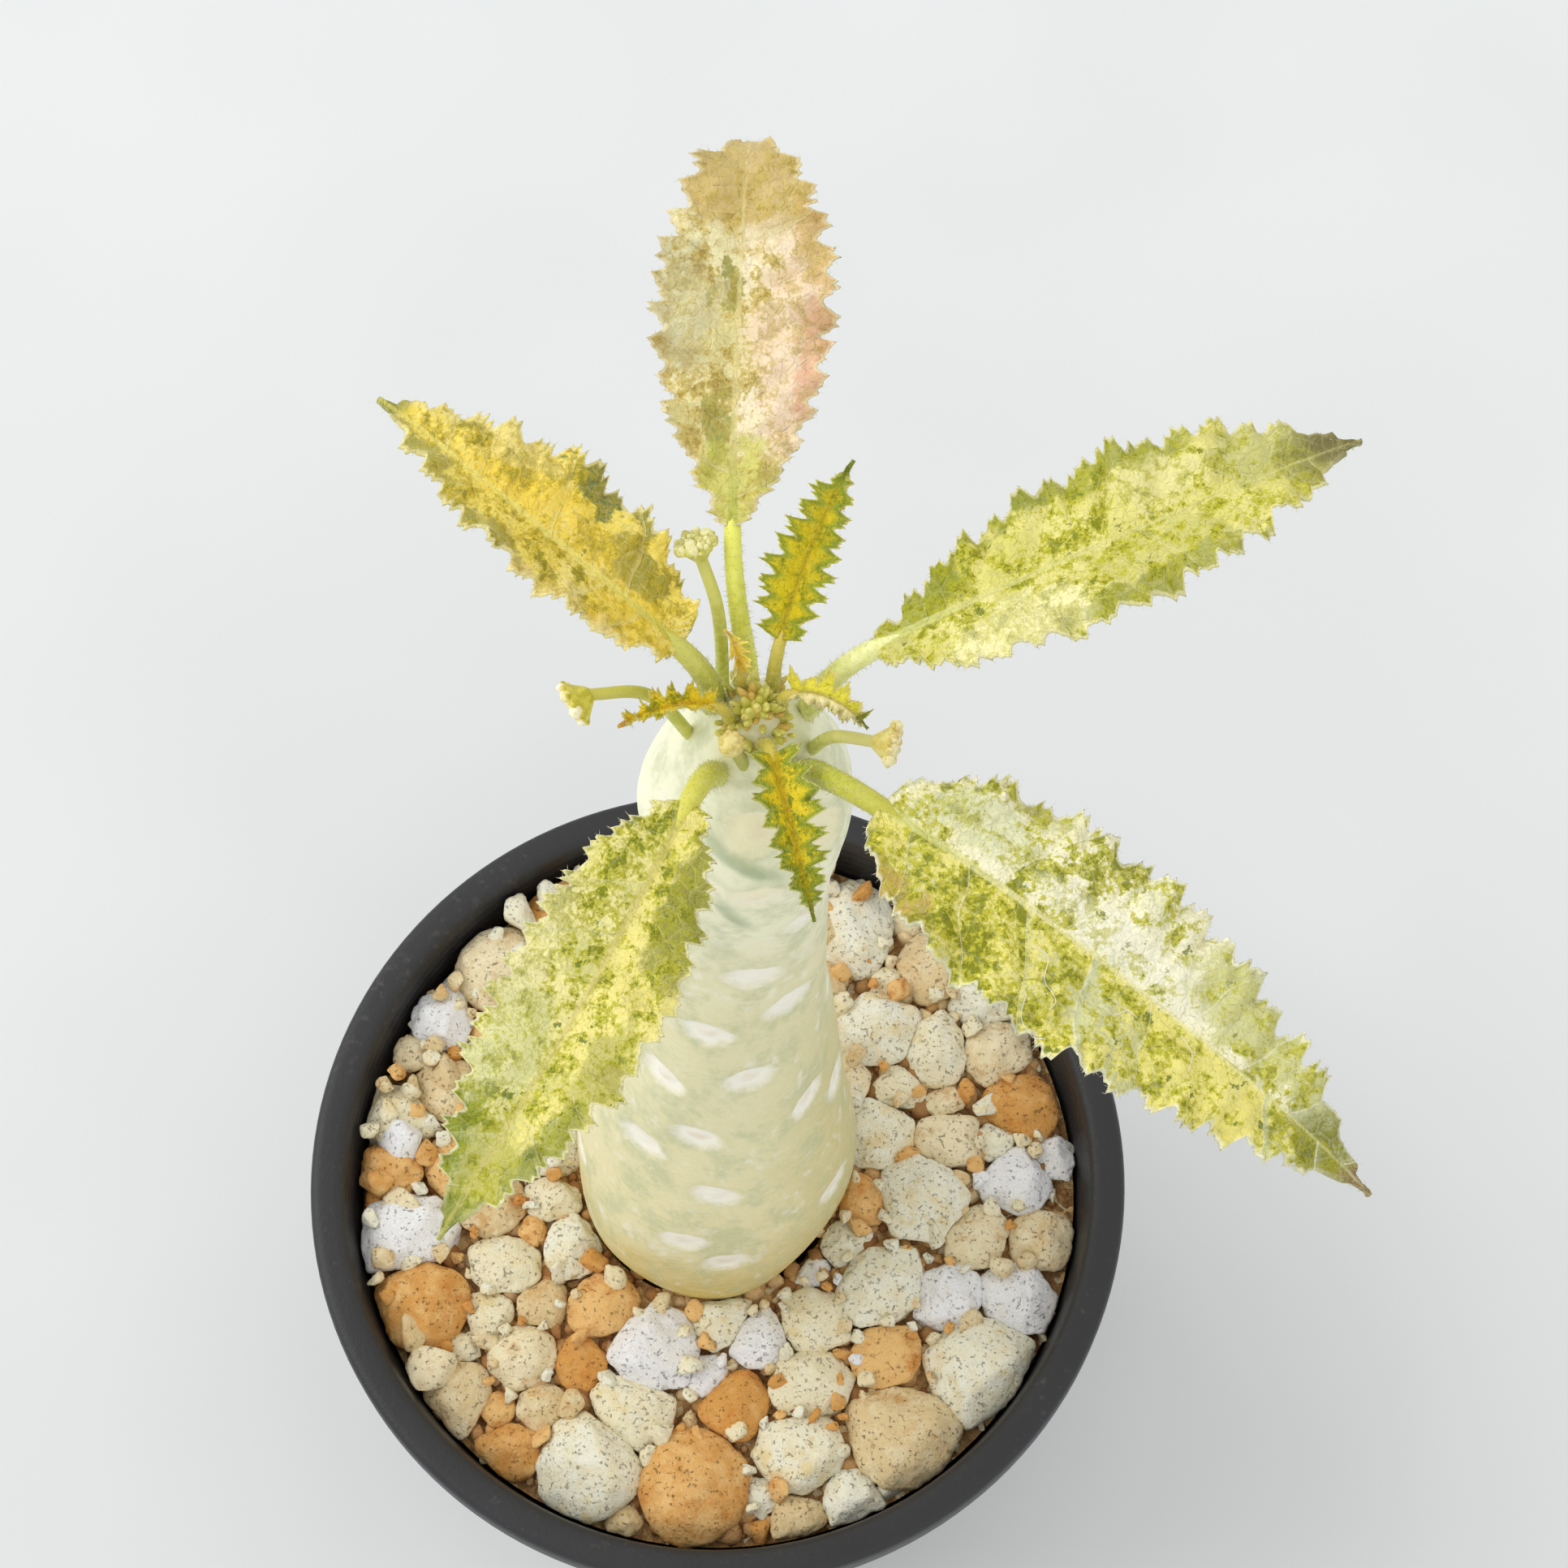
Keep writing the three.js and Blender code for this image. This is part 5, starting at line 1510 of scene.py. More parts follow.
    # The skin rises on the veins and in fine blisters, and sinks along the net.
    relief = leaf.maths("MULTIPLY_ADD", line, 0.15, leaf.times(grain, 0.6))
    relief = leaf.maths("MULTIPLY_ADD", leaf.noise(1.1 * size, detail=4, where=where), 1.3, relief)
    relief = leaf.maths("MULTIPLY_ADD", leaf.step(net, 0.14, 0.0), -0.2, relief)
    relief = leaf.maths("MULTIPLY_ADD", leaf.step(fine_net, 0.16, 0.0), -0.2, relief)
    tint = add(leaf.tree, "ShaderNodeHueSaturation", {"Color": tint, "Value": leaf_glow}).outputs[0]
    return leaf.done(Base_Color=tint, Normal=leaf.bump(relief, 0.26 * size))


def petiole_finish(name, base, light, far):
    """A juicy stalk: two tones in fine clouds, a third towards its far end, and pale where it leaves the
    crown.
    """
    stalk = Finish(name, roughness=0.42, specular=0.4)
    reach = stalk.attribute("reach")
    streak = stalk.noise(0.5, detail=3)
    tint = stalk.mix(stalk.step(streak, 0.35, 0.7), base, light)
    tint = stalk.mix(stalk.step(reach, 0.45, 1.0), tint, far)
    tint = stalk.over(tint, stalk.step(reach, 0.14, 0.0), (210, 208, 142), 0.7)
    return stalk.done(Base_Color=tint, Normal=stalk.bump(stalk.noise(0.25, detail=2), 0.05))


# %% [markdown]
# ## Hairs
#
# The stalks and the leaf margins carry a fuzz of short pale hairs. A recipe throws points over the chosen
# part of a surface and stands a thin three-sided cone on each, leaning any way. On a blade the chosen part
# is the strip along the margin. A petiole keeps no distance from a margin, so there it is everywhere.

# %% The recipe for hairs
def hairs_tree():
    tree, given = new_tree(
        "hairs", Density=8.0, Strip=0.25, Thickness=0.02, Shortest=0.2, Longest=0.42, Seed=0,
        Material="material",
    )
    near = maths(tree, "LESS_THAN", stored(tree, "edge"), given["Strip"])
    scattered = scatter(tree, given, near)
    stray = chance(tree, 1, (-0.7, -0.7, -0.7), (0.7, 0.7, 0.7))
    lean = vectors(tree, "ADD", scattered.outputs["Normal"], stray)
    turn = add(tree, "FunctionNodeAlignRotationToVector", {"Vector": lean}, axis="Z").outputs[0]
    length = chance(tree, 2, given["Shortest"], given["Longest"])
    size = add(tree, "ShaderNodeCombineXYZ", {0: given["Thickness"], 1: given["Thickness"], 2: length})
    cone = {"Vertices": 3, "Radius Top": 0.0, "Radius Bottom": 1.0, "Depth": 1.0}
    hair = add(tree, "GeometryNodeMeshCone", cone).outputs["Mesh"]
    return end_tree(tree, copies(tree, scattered, hair, turn, size), given)


def hair_finish():
    hair = Finish("hairs", roughness=0.4, specular=0.3)
    tint = hair.mix(hair.noise(3, detail=2), (226, 222, 170), (246, 244, 222))
    return hair.done(Base_Color=tint)


hairs, hair_skin = hairs_tree(), hair_finish()


def hairs_on(mesh, seed, density):
    return grow("hairs", hairs, mesh.copy(), Density=density, Seed=seed, Material=hair_skin)


# %% [markdown]
# A few threads of lint have caught on the front right leaf. Each is a wandering path laid over the blade,
# or hung from its margin, and is thinner than a tenth of a millimetre.

# %% Lint
lint_radius, lint_lift, lint_sag, lint_level = 0.02, 0.05, 0.12, 182.0
lint_paths = [
    [(20.0, -20.5), (19.7, -21.8), (20.2, -22.7), (21.1, -23.0)],
    [(20.4, -17.5), (21.3, -18.2), (21.1, -19.6), (21.7, -20.9), (21.3, -21.4)],
    [(24.2, -20.9), (25.0, -21.5), (25.9, -21.2), (26.4, -21.6)],
    [(29.0, -22.4), (29.6, -23.5), (29.3, -24.6)],
]


def lint_on(blade):
    """Threads that lie on a blade, and sag where they leave it."""
    skin = Finish("lint", roughness=0.7)
    finish = skin.done(Base_Color=skin.mix(skin.noise(1), (244, 244, 240), (252, 252, 250)))
    faces = [tuple(face.vertices) for face in blade.polygons]
    surface = BVHTree.FromPolygons([point.co for point in blade.vertices], faces)
    threads = []
    for number, path in enumerate(lint_paths):
        flat = path_through([(x, y, 0) for x, y in path], 10)
        level, points = None, []
        for x, y, _ in flat:
            hit = surface.ray_cast(Vector((x, y, 300)), Vector((0, 0, -1)))[0]
            level = hit.z + lint_lift if hit else (level or lint_level) - lint_sag
            points.append((x, y, level))
        radii = np.full(len(points), lint_radius)
        threads.append(stalk_mesh(f"lint_{number}", points, radii, finish, sides=6))
    return threads


# %% [markdown]
# ## The five large leaves
#
# Each has its own colours, read off the plant: the left one is golden with dark green stains, the back
# one is cream with a salmon half and a rusty edge, the right one lime, the front right one cream above
# its midrib and mottled green below, and the front left one deepens to green at its tip.

# %% Colours of the large leaves
CREAMY = (238, 236, 206)
leaf_looks = {
    "leaf_left": dict(
        ground=(((244, 222, 102), (248, 224, 98)), (232, 204, 66), 0.75),
        film=((234, 222, 142), (0.52, 0.48)),
        green=((200, 176, 40), (150, 140, 32), (0.48, 0.48)),
        dark=((108, 114, 46), 0.14), veined=0.3,
        rib=((196, 190, 70), (244, 230, 124), (248, 236, 166)), rib_width=(0.4, 0.16),
        tip=((122, 130, 46), 0.89),
        spots=[(10, -1.2, (7, 1.7), (240, 206, 62), 0.45), (3, 1.4, (3.4, 2.4), (240, 206, 60), 0.6),
               (7, 4.2, (6, 1.7), (232, 206, 134), 0.75), (9.7, -4.6, (2.2, 1.4), (104, 120, 68), 0.9),
               (4.8, -1.9, (2.4, 1.3), (140, 134, 44), 0.75), (6.2, -4.8, (2, 1.0), (132, 134, 60), 0.7),
               (13.6, 3.4, (3, 1.4), (142, 142, 74), 0.7), (19.5, 1.8, (3.4, 1.6), (146, 146, 74), 0.6),
               (16, -3.0, (4, 1.4), (238, 222, 140), 0.6)],
    ),
    "leaf_back": dict(
        ground=(((242, 234, 182), (250, 236, 198)), (228, 210, 136), 0.5),
        film=((214, 202, 130), (0.5, 0.3)),
        green=((204, 182, 96), (172, 148, 68), (0.5, 0.46)),
        dark=((150, 138, 66), 0.08), veined=0.5,
        rib=((182, 186, 72), (232, 218, 150), (238, 224, 178)),
        tip=((206, 150, 92), 0.97),
        spots=[(10, -3.0, (7, 2.2), (246, 218, 190), 0.6), (9, -5.0, (5, 1.6), (226, 172, 132), 0.75),
               (25, 0, (8, 9), (198, 168, 86), 0.68), (10, 5.6, (7, 1.6), (180, 152, 76), 0.85),
               (18, -5.2, (5, 2.0), (212, 176, 104), 0.7), (14.0, 1.0, (1.5, 0.8), (146, 146, 58), 0.85),
               (5.4, 1.2, (3.5, 0.9), (150, 154, 58), 0.8), (13, 3.2, (4, 1.8), (220, 214, 168), 0.8),
               (1.5, 0, (3.5, 6), (208, 206, 84), 0.7)],
    ),
    "leaf_right": dict(
        ground=(((236, 228, 138), (238, 230, 150)), (218, 210, 104), 0.7),
        film=((204, 202, 120), (0.42, 0.44)),
        green=((190, 186, 28), (134, 138, 0), (0.48, 0.48)),
        dark=((104, 118, 4), 0.2), veined=0.45,
        rib=((214, 216, 132), (222, 218, 138), (238, 232, 176)),
        tip=((122, 112, 70), 0.87),
        spots=[(2.9, 2.2, (4, 2.4), (142, 148, 22), 0.9), (9, 5.0, (5, 1.6), (134, 142, 28), 0.6),
               (9.0, -3.4, (5, 2.2), (252, 246, 184), 0.8), (27, 1.6, (4.5, 2.4), (184, 186, 120), 0.5),
               (29.8, -0.5, (3.2, 3.2), (136, 132, 66), 0.8), (16, 4.6, (9, 1.2), (142, 150, 46), 0.6),
               (19, -4.4, (8, 1.2), (140, 146, 52), 0.7), (19.5, 2.4, (3, 1.6), (234, 228, 158), 0.6)],
        size=0.8,
    ),
    "leaf_front_right": dict(
        ground=(((246, 241, 206), (236, 226, 128)), (226, 214, 104), 0.35),
        film=((200, 204, 160), (0.58, 0.32)),
        green=((188, 184, 30), (128, 132, 0), (0.46, 0.49)),
        dark=((102, 116, 0), 0.2), veined=0.9,
        rib=((206, 208, 118), (236, 230, 166), CREAMY),
        tip=((150, 116, 86), 0.925),
        spots=[(2.5, -5.0, (4.5, 2.0), (190, 158, 76), 0.8), (7, 5.8, (3.6, 1.4), (172, 168, 56), 0.7),
               (17, 1.6, (7, 1.2), (240, 238, 214), 0.6), (33.0, 0.4, (3.4, 2.8), (132, 132, 42), 0.95),
               (6, 2.6, (4, 1.6), (212, 216, 172), 0.5), (26, 3.0, (6.5, 2.6), (190, 190, 92), 0.6)],
        size=0.85,
    ),
    "leaf_front_left": dict(
        ground=(((240, 228, 136), (242, 234, 158)), (226, 214, 100), 0.5),
        film=((204, 204, 134), (0.46, 0.46)),
        green=((186, 182, 34), (122, 130, 2), (0.48, 0.5)),
        dark=((96, 114, 6), 0.22), veined=0.45,
        rib=((198, 188, 92), (214, 200, 120), (240, 234, 184)), rib_width=(0.42, 0.16),
        tip=((128, 140, 44), 0.88),
        spots=[(5, 3.6, (6, 2.4), (132, 134, 38), 0.8), (26, -3.2, (4.5, 2.2), (84, 116, 10), 0.85),
               (25.5, 0, (3.5, 4), (150, 156, 40), 0.45), (24, 3.6, (5, 1.8), (124, 140, 72), 0.55),
               (12, -4.4, (6, 1.6), (238, 232, 170), 0.7), (17, 3.4, (4, 1.4), (156, 158, 72), 0.4),
               (18, -2.5, (4, 2.2), (212, 216, 160), 0.45)],
        size=0.8,
    ),
}
petiole_looks = {
    "leaf_left": ((178, 184, 66), (208, 210, 106), (214, 210, 106)),
    "leaf_back": ((230, 234, 90), (246, 246, 134), (240, 240, 112)),
    "leaf_right": ((220, 226, 122), (250, 250, 188), (246, 246, 172)),
    "leaf_front_right": ((176, 182, 56), (204, 204, 84), (198, 194, 76)),
    "leaf_front_left": ((208, 210, 76), (230, 228, 116), (222, 216, 92)),
}

# %% The large leaves
def dress_leaf(name, leaf, look, stalk_look, tooth_depth, finer, columns, density):
    """Makes the blade, the petiole and the hairs of one leaf, and hands them over as one piece."""
    finish = leaf_finish("skin_of_" + name, leaf.seed, **look)
    blade = blade_mesh(name, leaf, tooth_depth, finer, columns, finish)
    petiole = petiole_mesh(name, leaf, petiole_finish("petiole_of_" + name, *stalk_look))
    meshes = [blade, petiole, hairs_on(blade, leaf.seed, density), hairs_on(petiole, leaf.seed + 50, density)]
    if name == "leaf_front_right":
        meshes += lint_on(blade)
    finish_piece(name + "_dressed", meshes, name)


for name, leaf in large_leaves.items():
    dress_leaf(name, leaf, leaf_looks[name], petiole_looks[name], large_tooth, 10, half_columns, 8.0)

# %% [markdown]
# ## The young leaves
#
# They are made by the same rule, with fewer columns. They are still folded along the midrib, so their
# margins look larger than they are, and they are golden: their green has yet to come.

# %% The young leaves
young_columns = np.append(half_columns[::2], 1)
young_stalk = (190, 182, 70), (216, 208, 104), (214, 196, 84)
golden = dict(
    ground=(((216, 196, 14), (210, 188, 4)), (200, 178, 0), 0.5),
    film=((204, 186, 44), (0.4, 0.4)),
    green=((172, 162, 4), (126, 132, 0), (0.44, 0.5)),
    dark=((84, 96, 24), 0.08),
    rib=((176, 160, 24), (160, 140, 12), (224, 208, 96)),
    tip=((98, 128, 30), 0.84),
    vein_gap=1.6, veined=0.2, rib_width=(0.34, 0.12), rib_blur=0.14, rim=((112, 142, 40), 0.8, 1.1), size=0.6,
)
brown_rib = dict(
    golden, ground=(((226, 202, 20), (232, 206, 24)), (204, 180, 0), 0.5),
    green=((152, 152, 20), (98, 120, 18), (0.48, 0.48)),
    rib=((192, 168, 18), (182, 150, 10), (214, 204, 116)), rib_width=(0.62, 0.14),
)
orange_tip = dict(
    golden, ground=(((242, 214, 34), (240, 210, 28)), (226, 194, 10), 0.5), tip=((206, 156, 60), 0.84),
    rim=((150, 136, 44), 0.3, 0.6), rib=((196, 164, 24), (188, 146, 16), (220, 204, 110)),
)
cream_edge = dict(
    golden, ground=(((234, 224, 66), (250, 236, 176)), (226, 218, 52), 0.4), tip=((92, 112, 22), 0.75),
    green=((190, 182, 24), (140, 144, 10), (0.36, 0.3)), rim=((150, 150, 60), 0.25, 0.6),
    rib=((170, 160, 60), (160, 146, 50), (226, 210, 130)),
)
rusty = dict(
    orange_tip, ground=(((255, 238, 110), (255, 232, 100)), (250, 222, 80), 0.5), tip=((244, 208, 84), 0.8),
    green=((246, 214, 80), (232, 194, 64), (0.4, 0.4)), dark=((214, 176, 60), 0.0),
    rim=((240, 210, 90), 0.2, 0.6), rib=((236, 196, 60), (230, 186, 54), (250, 232, 130)),
)
young_looks = {
    "young_leaf_back_right": golden, "young_leaf_front": brown_rib, "young_leaf_left": orange_tip,
    "young_leaf_right": cream_edge, "young_leaf_back_left": rusty,
}
for name, leaf in young_leaves.items():
    dress_leaf(name, leaf, young_looks[name], young_stalk, young_tooth, 8, young_columns, 12.0)

# %% [markdown]
# ## The flower heads
#
# What looks like one flower of a dorstenia is a whole head: a fleshy disc on a stalk, with dozens of tiny
# flowers sunk in its face and small bracts round its rim. The cup is turned, as the pot is. The flowers
# stand on a sunflower spiral: each is a golden angle on from the last, and its distance grows with the
# square root of its number, which fills a disc evenly. The recipe works each place out from the number
# alone. With a power of 0 in place of the root, the same recipe sets the bracts on the rim.

# %% The recipe for a spiral of flowers
def spiral_tree():
    tree, given = new_tree(
        "flower_spiral", Count=10, Spread=1.0, Power=0.5, Turn=golden_angle, Height=0.0, Small=0.3, Large=0.4,
        Long=1.2, Dimple=0.4, Seed=0, Material="material",
    )
    line = add(tree, "GeometryNodeMeshLine", {"Count": given["Count"], "Offset": (0, 0, 0)})
    index = add(tree, "GeometryNodeInputIndex").outputs[0]
    share = maths(tree, "DIVIDE", maths(tree, "ADD", index, 0.5), given["Count"])
    distance = times(tree, maths(tree, "POWER", share, given["Power"]), given["Spread"])
    turn = times(tree, times(tree, index, given["Turn"]), -1.0)
    place = polar(tree, distance, turn, given["Height"])
    placed = add(tree, "GeometryNodeSetPosition", {0: line, "Position": place})
    ball = add(tree, "GeometryNodeMeshIcoSphere", {"Radius": 1.0, "Subdivisions": 2})
    x, y, z = parts(tree, add(tree, "GeometryNodeInputPosition"))
    off = maths(tree, "SQRT", maths(tree, "ADD", times(tree, x, x), times(tree, y, y)))
    top = times(tree, maths(tree, "GREATER_THAN", z, 0.0), maths(tree, "LESS_THAN", off, 0.45))
    down = times(tree, times(tree, top, given["Dimple"]), -1.0)
    dimple = add(tree, "ShaderNodeCombineXYZ", {2: down})
    flower = add(tree, "GeometryNodeSetPosition", {0: ball.outputs["Mesh"], "Offset": dimple})
    size = chance(tree, given["Seed"], given["Small"], given["Large"])
    stretch = add(tree, "ShaderNodeCombineXYZ", {0: 1.0, 1: 1.0, 2: given["Long"]})
    scale = vectors(tree, "SCALE", stretch, size)
    lean = chance(tree, given["Seed"], (-0.3, -0.3, 0), (0.3, 0.3, 6.3))
    flowers = copies(tree, placed, flower, lean, scale)
    return end_tree(tree, store(tree, flowers, "tint", chance(tree, given["Seed"]), "INSTANCE"), given)


# %% [markdown]
# Each head has a stalk through a halfway point, a way that it faces, a radius and a seed.

# %% Where the heads stand
Head = namedtuple("Head", "root stalk faces radius seed")
flower_heads = {
    "flower_head_left": Head((176, 4), [(-6.9, 0.7, 0.3), (-10.2, 0.35, 0.9)], (-0.8, -0.45, -0.25), 1.4, 31),
    "flower_head_right": Head((-12, 3.8), [(5, -1.9, -0.3), (7.3, -2.3, -0.2)], (1, -0.25, 0.1), 1.25, 32),
    "flower_head_back": Head((127, 3.5), [(-2.4, 5.2, 3.6), (-3.35, 7.6, 5.2)], (-0.25, 0.5, 0.85), 1.2, 33),
}
stalk_radius, disc_depth, floret_radius, floret_count = 0.4, 1.1, 0.36, 10
small_florets, bract_count = 26, 13


def facing(head):
    """The matrix that stands a head, made along +Z, at the end of its stalk."""
    turn = Vector((0, 1, 0)).rotation_difference(Vector(head.faces).normalized()).to_matrix()
    turn = turn @ Matrix.Rotation(math.radians(-90), 3, "X")
    return Matrix.Translation(from_tip(head.stalk[-1])) @ turn.to_4x4()


# %% [markdown]
# The flesh of a head is yellow-green and a little translucent at the rim. The tiny flowers are cream, each
# with its own shade, and pinkish where they have aged. Each head's look is the two colours of its flesh,
# the two of its flowers, and its aged colour with the two heights between which it sets in.

# %% The finishes of a head
def aged_side(finish, cloud, tint, aged, aged_from, aged_to):
    """Ages a tint between two heights, with a ragged border."""
    height = finish.stray(cloud, 0.8, finish.parts(finish.place)[2])
    return finish.over(tint, finish.step(height, aged_from, aged_to), aged, 0.7)


def flesh_finish(name, light, deep, aged):
    flesh = Finish(name, roughness=0.45, specular=0.4)
    cloud = flesh.noise(0.5, detail=3)
    tint = flesh.mix(flesh.step(cloud, 0.35, 0.65), deep, light)
    tint = aged_side(flesh, cloud, tint, *aged)
    return flesh.done(Base_Color=tint, Normal=flesh.bump(flesh.noise(0.15, detail=2), 0.04))


def floret_finish(name, light, deep, aged):
    floret = Finish(name, roughness=0.5, specular=0.35)
    own = floret.attribute("tint")
    cloud = floret.maths("ADD", floret.noise(0.25, detail=2), floret.maths("MULTIPLY_ADD", own, 0.5, -0.25))
    tint = floret.mix(floret.step(cloud, 0.3, 0.6), deep, light)
    tint = aged_side(floret, cloud, tint, *aged)
    return floret.done(Base_Color=tint, Normal=floret.bump(floret.noise(0.12, detail=2), 0.03))


head_looks = {
    "flower_head_left": (
        ((228, 218, 96), (200, 190, 60)),
        ((255, 250, 220), (244, 228, 156)),
        ((240, 196, 146), 179.2, 178.3),
    ),
    "flower_head_right": (
        ((242, 230, 150), (228, 206, 110)),
        ((255, 246, 196), (236, 210, 134)),
        ((242, 206, 156), 178.6, 177.7),
    ),
    "flower_head_back": (
        ((226, 222, 124), (196, 192, 80)),
        ((244, 240, 180), (206, 198, 112)),
        ((216, 190, 130), 184.6, 183.8),
    ),
}
stalk_looks = {
    "flower_head_left": ((198, 202, 84), (216, 214, 116), (206, 198, 90)),
    "flower_head_right": ((204, 208, 96), (228, 226, 150), (226, 220, 140)),
    "flower_head_back": ((196, 200, 84), (222, 222, 124), (214, 210, 112)),
}

# %% The flower heads
spiral = spiral_tree()
for name, head in flower_heads.items():
    flesh_look, floret_look, aged_look = head_looks[name]
    flesh = flesh_finish("flesh_of_" + name, *flesh_look, aged_look)
    florets = floret_finish("florets_of_" + name, *floret_look, aged_look)
    r = head.radius
    cup = [
        (0, -0.3), (stalk_radius, -0.25), (0.75 * r, 0.45 * disc_depth), (r, 0.75 * disc_depth),
        (0.9 * r, disc_depth), (0, disc_depth - 0.1),
    ]
    cup_mesh = grow("cup", turned, outline_mesh(rounded(cup, 0.3)), Sides=40, Material=flesh)
    large = grow(
        "florets", spiral, mesh_from("start", []), Count=floret_count, Spread=r, Height=disc_depth - 0.02,
        Small=0.9 * floret_radius, Large=1.15 * floret_radius, Seed=head.seed, Material=florets,
    )
    small = grow(
        "small_florets", spiral, mesh_from("start", []), Count=small_florets, Spread=0.98 * r,
        Height=disc_depth, Small=0.13, Large=0.24, Dimple=0.0, Long=1.6, Seed=head.seed + 1, Material=florets,
    )
    bracts = grow(
        "bracts", spiral, mesh_from("start", []), Count=bract_count, Spread=r, Power=0.0,
        Turn=2 * math.pi / bract_count, Height=0.86 * disc_depth, Small=0.18, Large=0.26, Dimple=0.0,
        Long=0.7, Seed=head.seed + 2, Material=flesh,
    )
    for mesh in (cup_mesh, large, small, bracts):
        outwards(mesh)
        mesh.transform(facing(head))
    path = path_through([root_point(*head.root), *map(from_tip, head.stalk)], 10)
    radii = stalk_radius * np.linspace(1.08, 0.95, len(path))
    stalk_skin = petiole_finish("stalk_of_" + name, *stalk_looks[name])
    stem_of_head = stalk_mesh("stalk", path, radii, stalk_skin)
    finish_piece(name + "_dressed", [cup_mesh, large, small, bracts, stem_of_head], name)

# %% [markdown]
# ## The bud and the crown
#
# The round bud is a head that is still shut: its bracts lie over it like scales. The crown is the growing
# point, a knot of tiny pointed buds, brown where their scales are dry. Both are clusters of one small
# shape, a pointed egg, set along its own axis on each marked point. A turned outline makes the egg, and a
# recipe sets it on the points, each with its own size.

# %% The recipe for clusters
def cluster_tree():
    tree, given = new_tree("cluster", Shape="object", Seed=0, Material="material")
    shape = add(tree, "GeometryNodeObjectInfo", {0: given["Shape"]}).outputs["Geometry"]
    axis, size = stored(tree, "axis", "FLOAT_VECTOR"), stored(tree, "size", "FLOAT_VECTOR")
    turn = add(tree, "FunctionNodeAlignRotationToVector", {"Vector": axis}, axis="Z").outputs[0]
    placed = copies(tree, given["Geometry"], shape, turn, size)
    return end_tree(tree, store(tree, placed, "tint", chance(tree, given["Seed"]), "INSTANCE"), given)


def bud_finish(name, light, deep, dry, dry_share):
    bud = Finish(name, roughness=0.55, specular=0.35)
    own = bud.attribute("tint")
    cloud = bud.noise(0.45, detail=4, rough=0.6)
    tint = bud.mix(bud.step(bud.maths("MULTIPLY_ADD", own, 0.5, cloud), 0.5, 0.95), deep, light)
    parched = bud.step(bud.maths("MULTIPLY_ADD", cloud, 0.4, own), 1.25 - dry_share, 1.4 - dry_share)
    tint = bud.mix(parched, tint, dry)
    return bud.done(Base_Color=tint, Normal=bud.bump(bud.noise(0.2, detail=3), 0.08))


cluster = cluster_tree()
egg_outline = [(0, -0.5), (0.3, -0.46), (0.48, -0.3), (0.5, -0.05), (0.4, 0.25), (0.22, 0.44), (0, 0.55)]
egg_mesh = outwards(grow("egg", turned, outline_mesh(egg_outline), Sides=12))
egg = placed_object("egg", egg_mesh)

# %% The round bud
bud_root, bud_centre, bud_radius, bud_stalk_radius = (-100, 2.9), (-1.5, -3, 1.3), 0.85, 0.4
centre = from_tip(bud_centre)
scale_count = 15
points, axes, sizes = [centre], [(0, 0, 1)], [(1.9 * bud_radius, 1.9 * bud_radius, 1.75 * bud_radius)]
for k in range(scale_count):
    level = 0.9 - 1.5 * (k + 0.5) / scale_count
    flat, turn = math.sqrt(1 - level * level), k * golden_angle
    out = np.array((flat * math.cos(turn), flat * math.sin(turn), level))
    points.append(centre + 0.56 * bud_radius * out)
    axes.append(out + (0, 0, 0.9))
    sizes.append((0.62, 0.62, 0.8))
bud_skin = bud_finish("bud_skin", (240, 224, 148), (224, 204, 116), (226, 190, 120), 0.2)
bud_mesh = grow(
    "bud", cluster, mesh_from("places", points, axis=axes, size=sizes), Shape=egg, Seed=7, Material=bud_skin
)
bud_stalk = petiole_finish("bud_stalk", (176, 178, 70), (196, 196, 92), (206, 192, 96))
path = np.linspace(root_point(*bud_root), centre, 6)
bud_stem = stalk_mesh("bud_stem", path, np.full(6, bud_stalk_radius), bud_stalk)
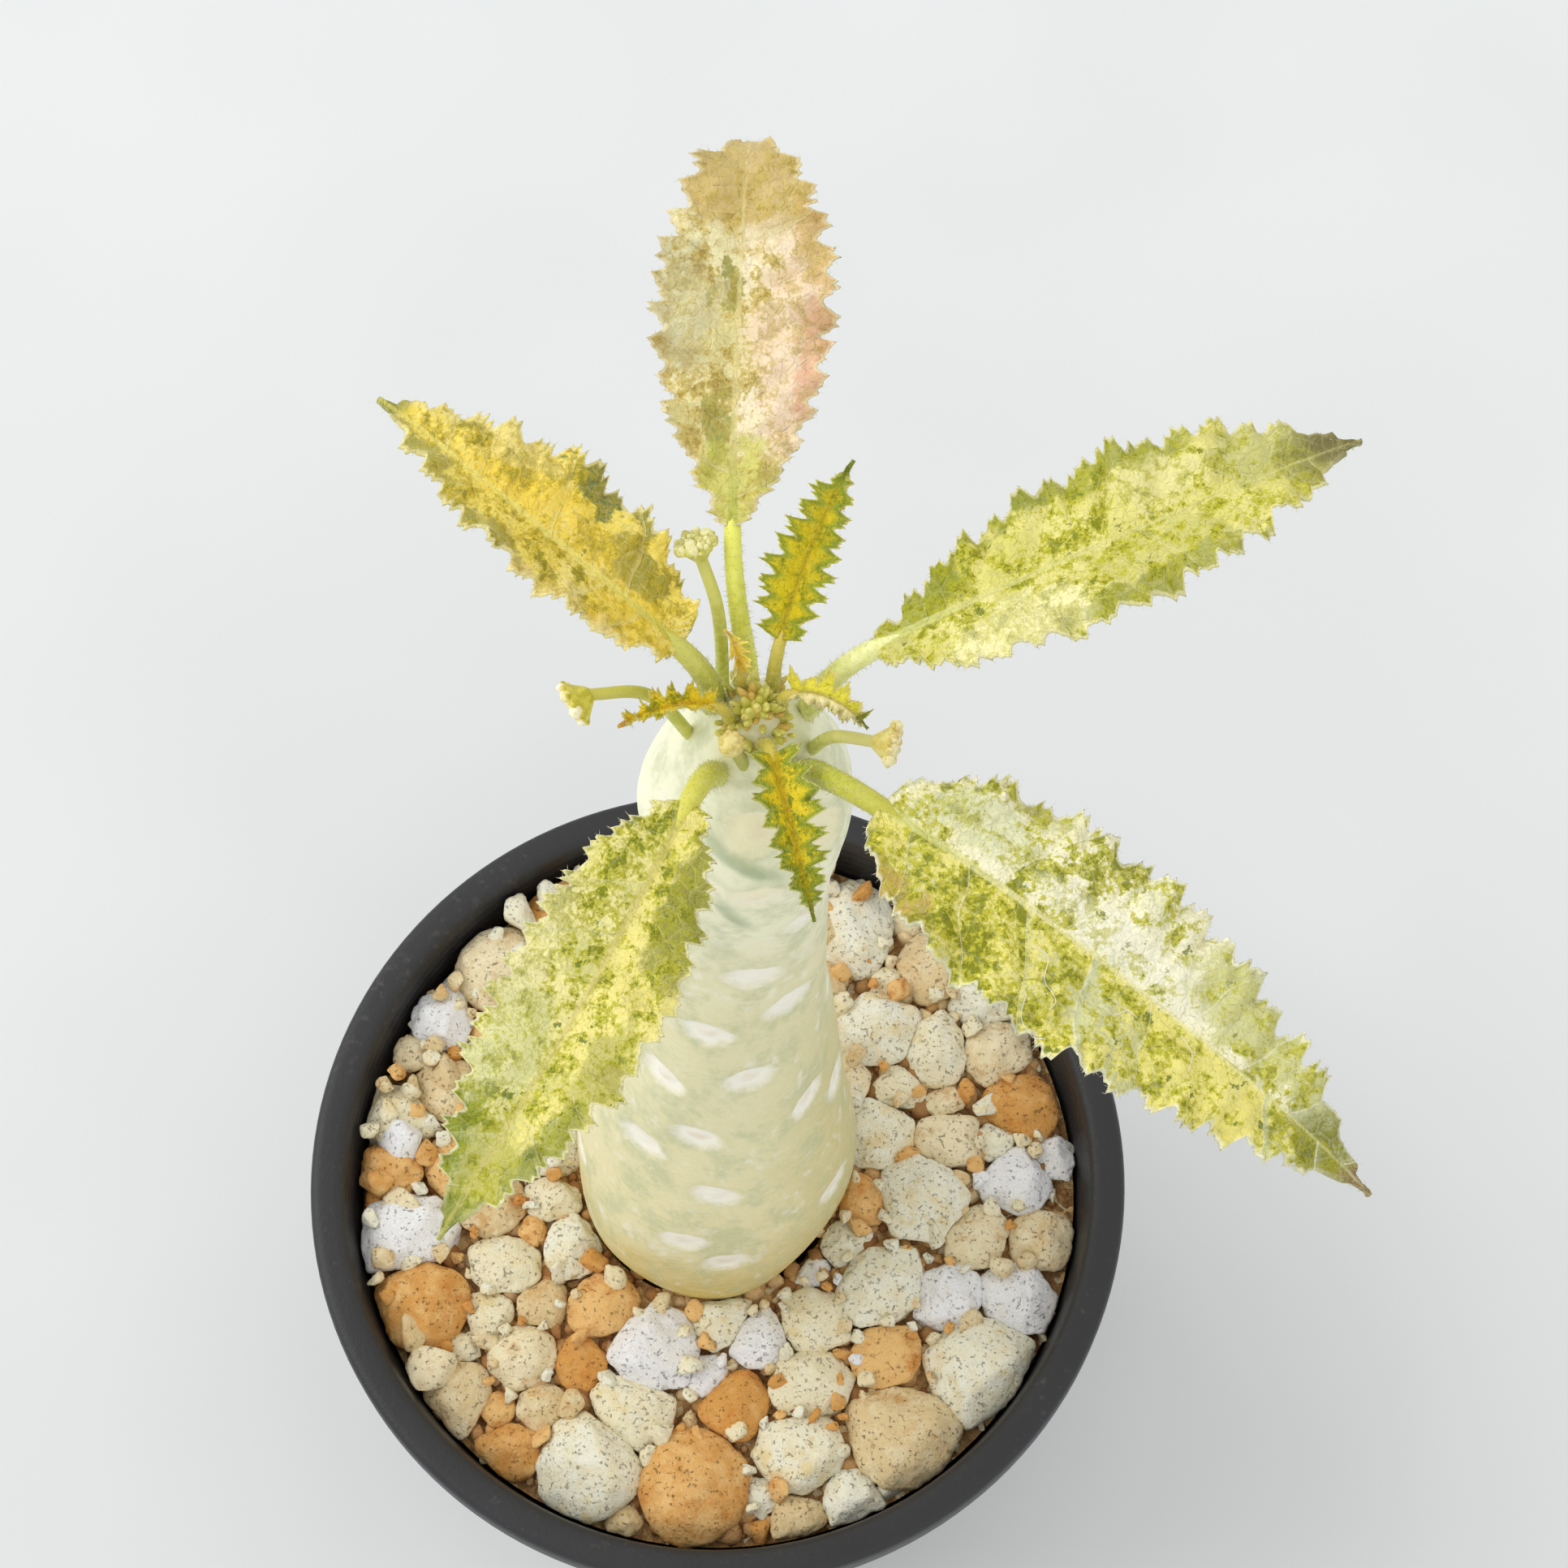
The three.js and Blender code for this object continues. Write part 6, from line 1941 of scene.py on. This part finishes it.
finish_piece("flower_bud_dressed", [bud_mesh, bud_stem], "flower_bud")

# %% The buds of the crown
crown_count, crown_spread, crown_bud_radius, crown_bud_length = 8, 0.75, 0.42, 1.1
crown_scales, scales_from, scales_over = 90, 0.7, 2.0
draw = random_from(41)
tip = np.array(stem_tip)
points, axes, sizes = [tip], [(0, 0, 1)], [(1.7, 1.7, 1.8)]
for k in range(crown_count):
    distance, turn = crown_spread * math.sqrt((k + 0.4) / crown_count), k * golden_angle
    length = crown_bud_length * (0.8 + 0.4 * draw())
    lean = 0.35 * distance
    points.append(tip + (distance * math.cos(turn), distance * math.sin(turn), 0.5 - 0.25 * distance))
    axes.append((math.sin(lean) * math.cos(turn), math.sin(lean) * math.sin(turn), math.cos(lean)))
    sizes.append((1.7 * crown_bud_radius, 1.7 * crown_bud_radius, 1.9 * length))
for k in range(crown_scales):
    distance, turn = scales_from + scales_over * k / crown_scales, 2 * math.pi * draw()
    height = float(np.interp(-distance, -stem_curve[-40:, 0], stem_curve[-40:, 1]))
    out = np.array((math.cos(turn), math.sin(turn), 0.0))
    lift = 0.5 * draw() * (scales_from + scales_over - distance)
    points.append(tip + distance * out + (0, 0, height - tip[2] + 0.1 + lift))
    axes.append(0.9 * out + (0.5 * draw() - 0.25, 0.5 * draw() - 0.25, 0.9))
    width = 0.32 + 0.3 * draw()
    sizes.append((width, width, 1.7 * width + 0.6 * draw()))
crown_skin = bud_finish("crown_skin", (250, 242, 150), (208, 204, 92), (222, 190, 100), 0.35)
crown_mesh = grow(
    "crown", cluster, mesh_from("places", points, axis=axes, size=sizes), Shape=egg, Seed=9,
    Material=crown_skin,
)
finish_piece("crown_buds_dressed", [crown_mesh], "crown_buds")
bpy.data.objects.remove(egg)

# %% [markdown]
# ## Sizes
#
# The box round all the finer pieces is measured, beside the box of the solids. The
# finer pieces may stand a little proud of the solids, but not much.

# %% Sizes
dressed_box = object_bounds()
sizes = {"solids": [list(corner) for corner in solid_box], "dressed": [list(corner) for corner in dressed_box]}
print("dressed box:", in_millimetres(dressed_box))
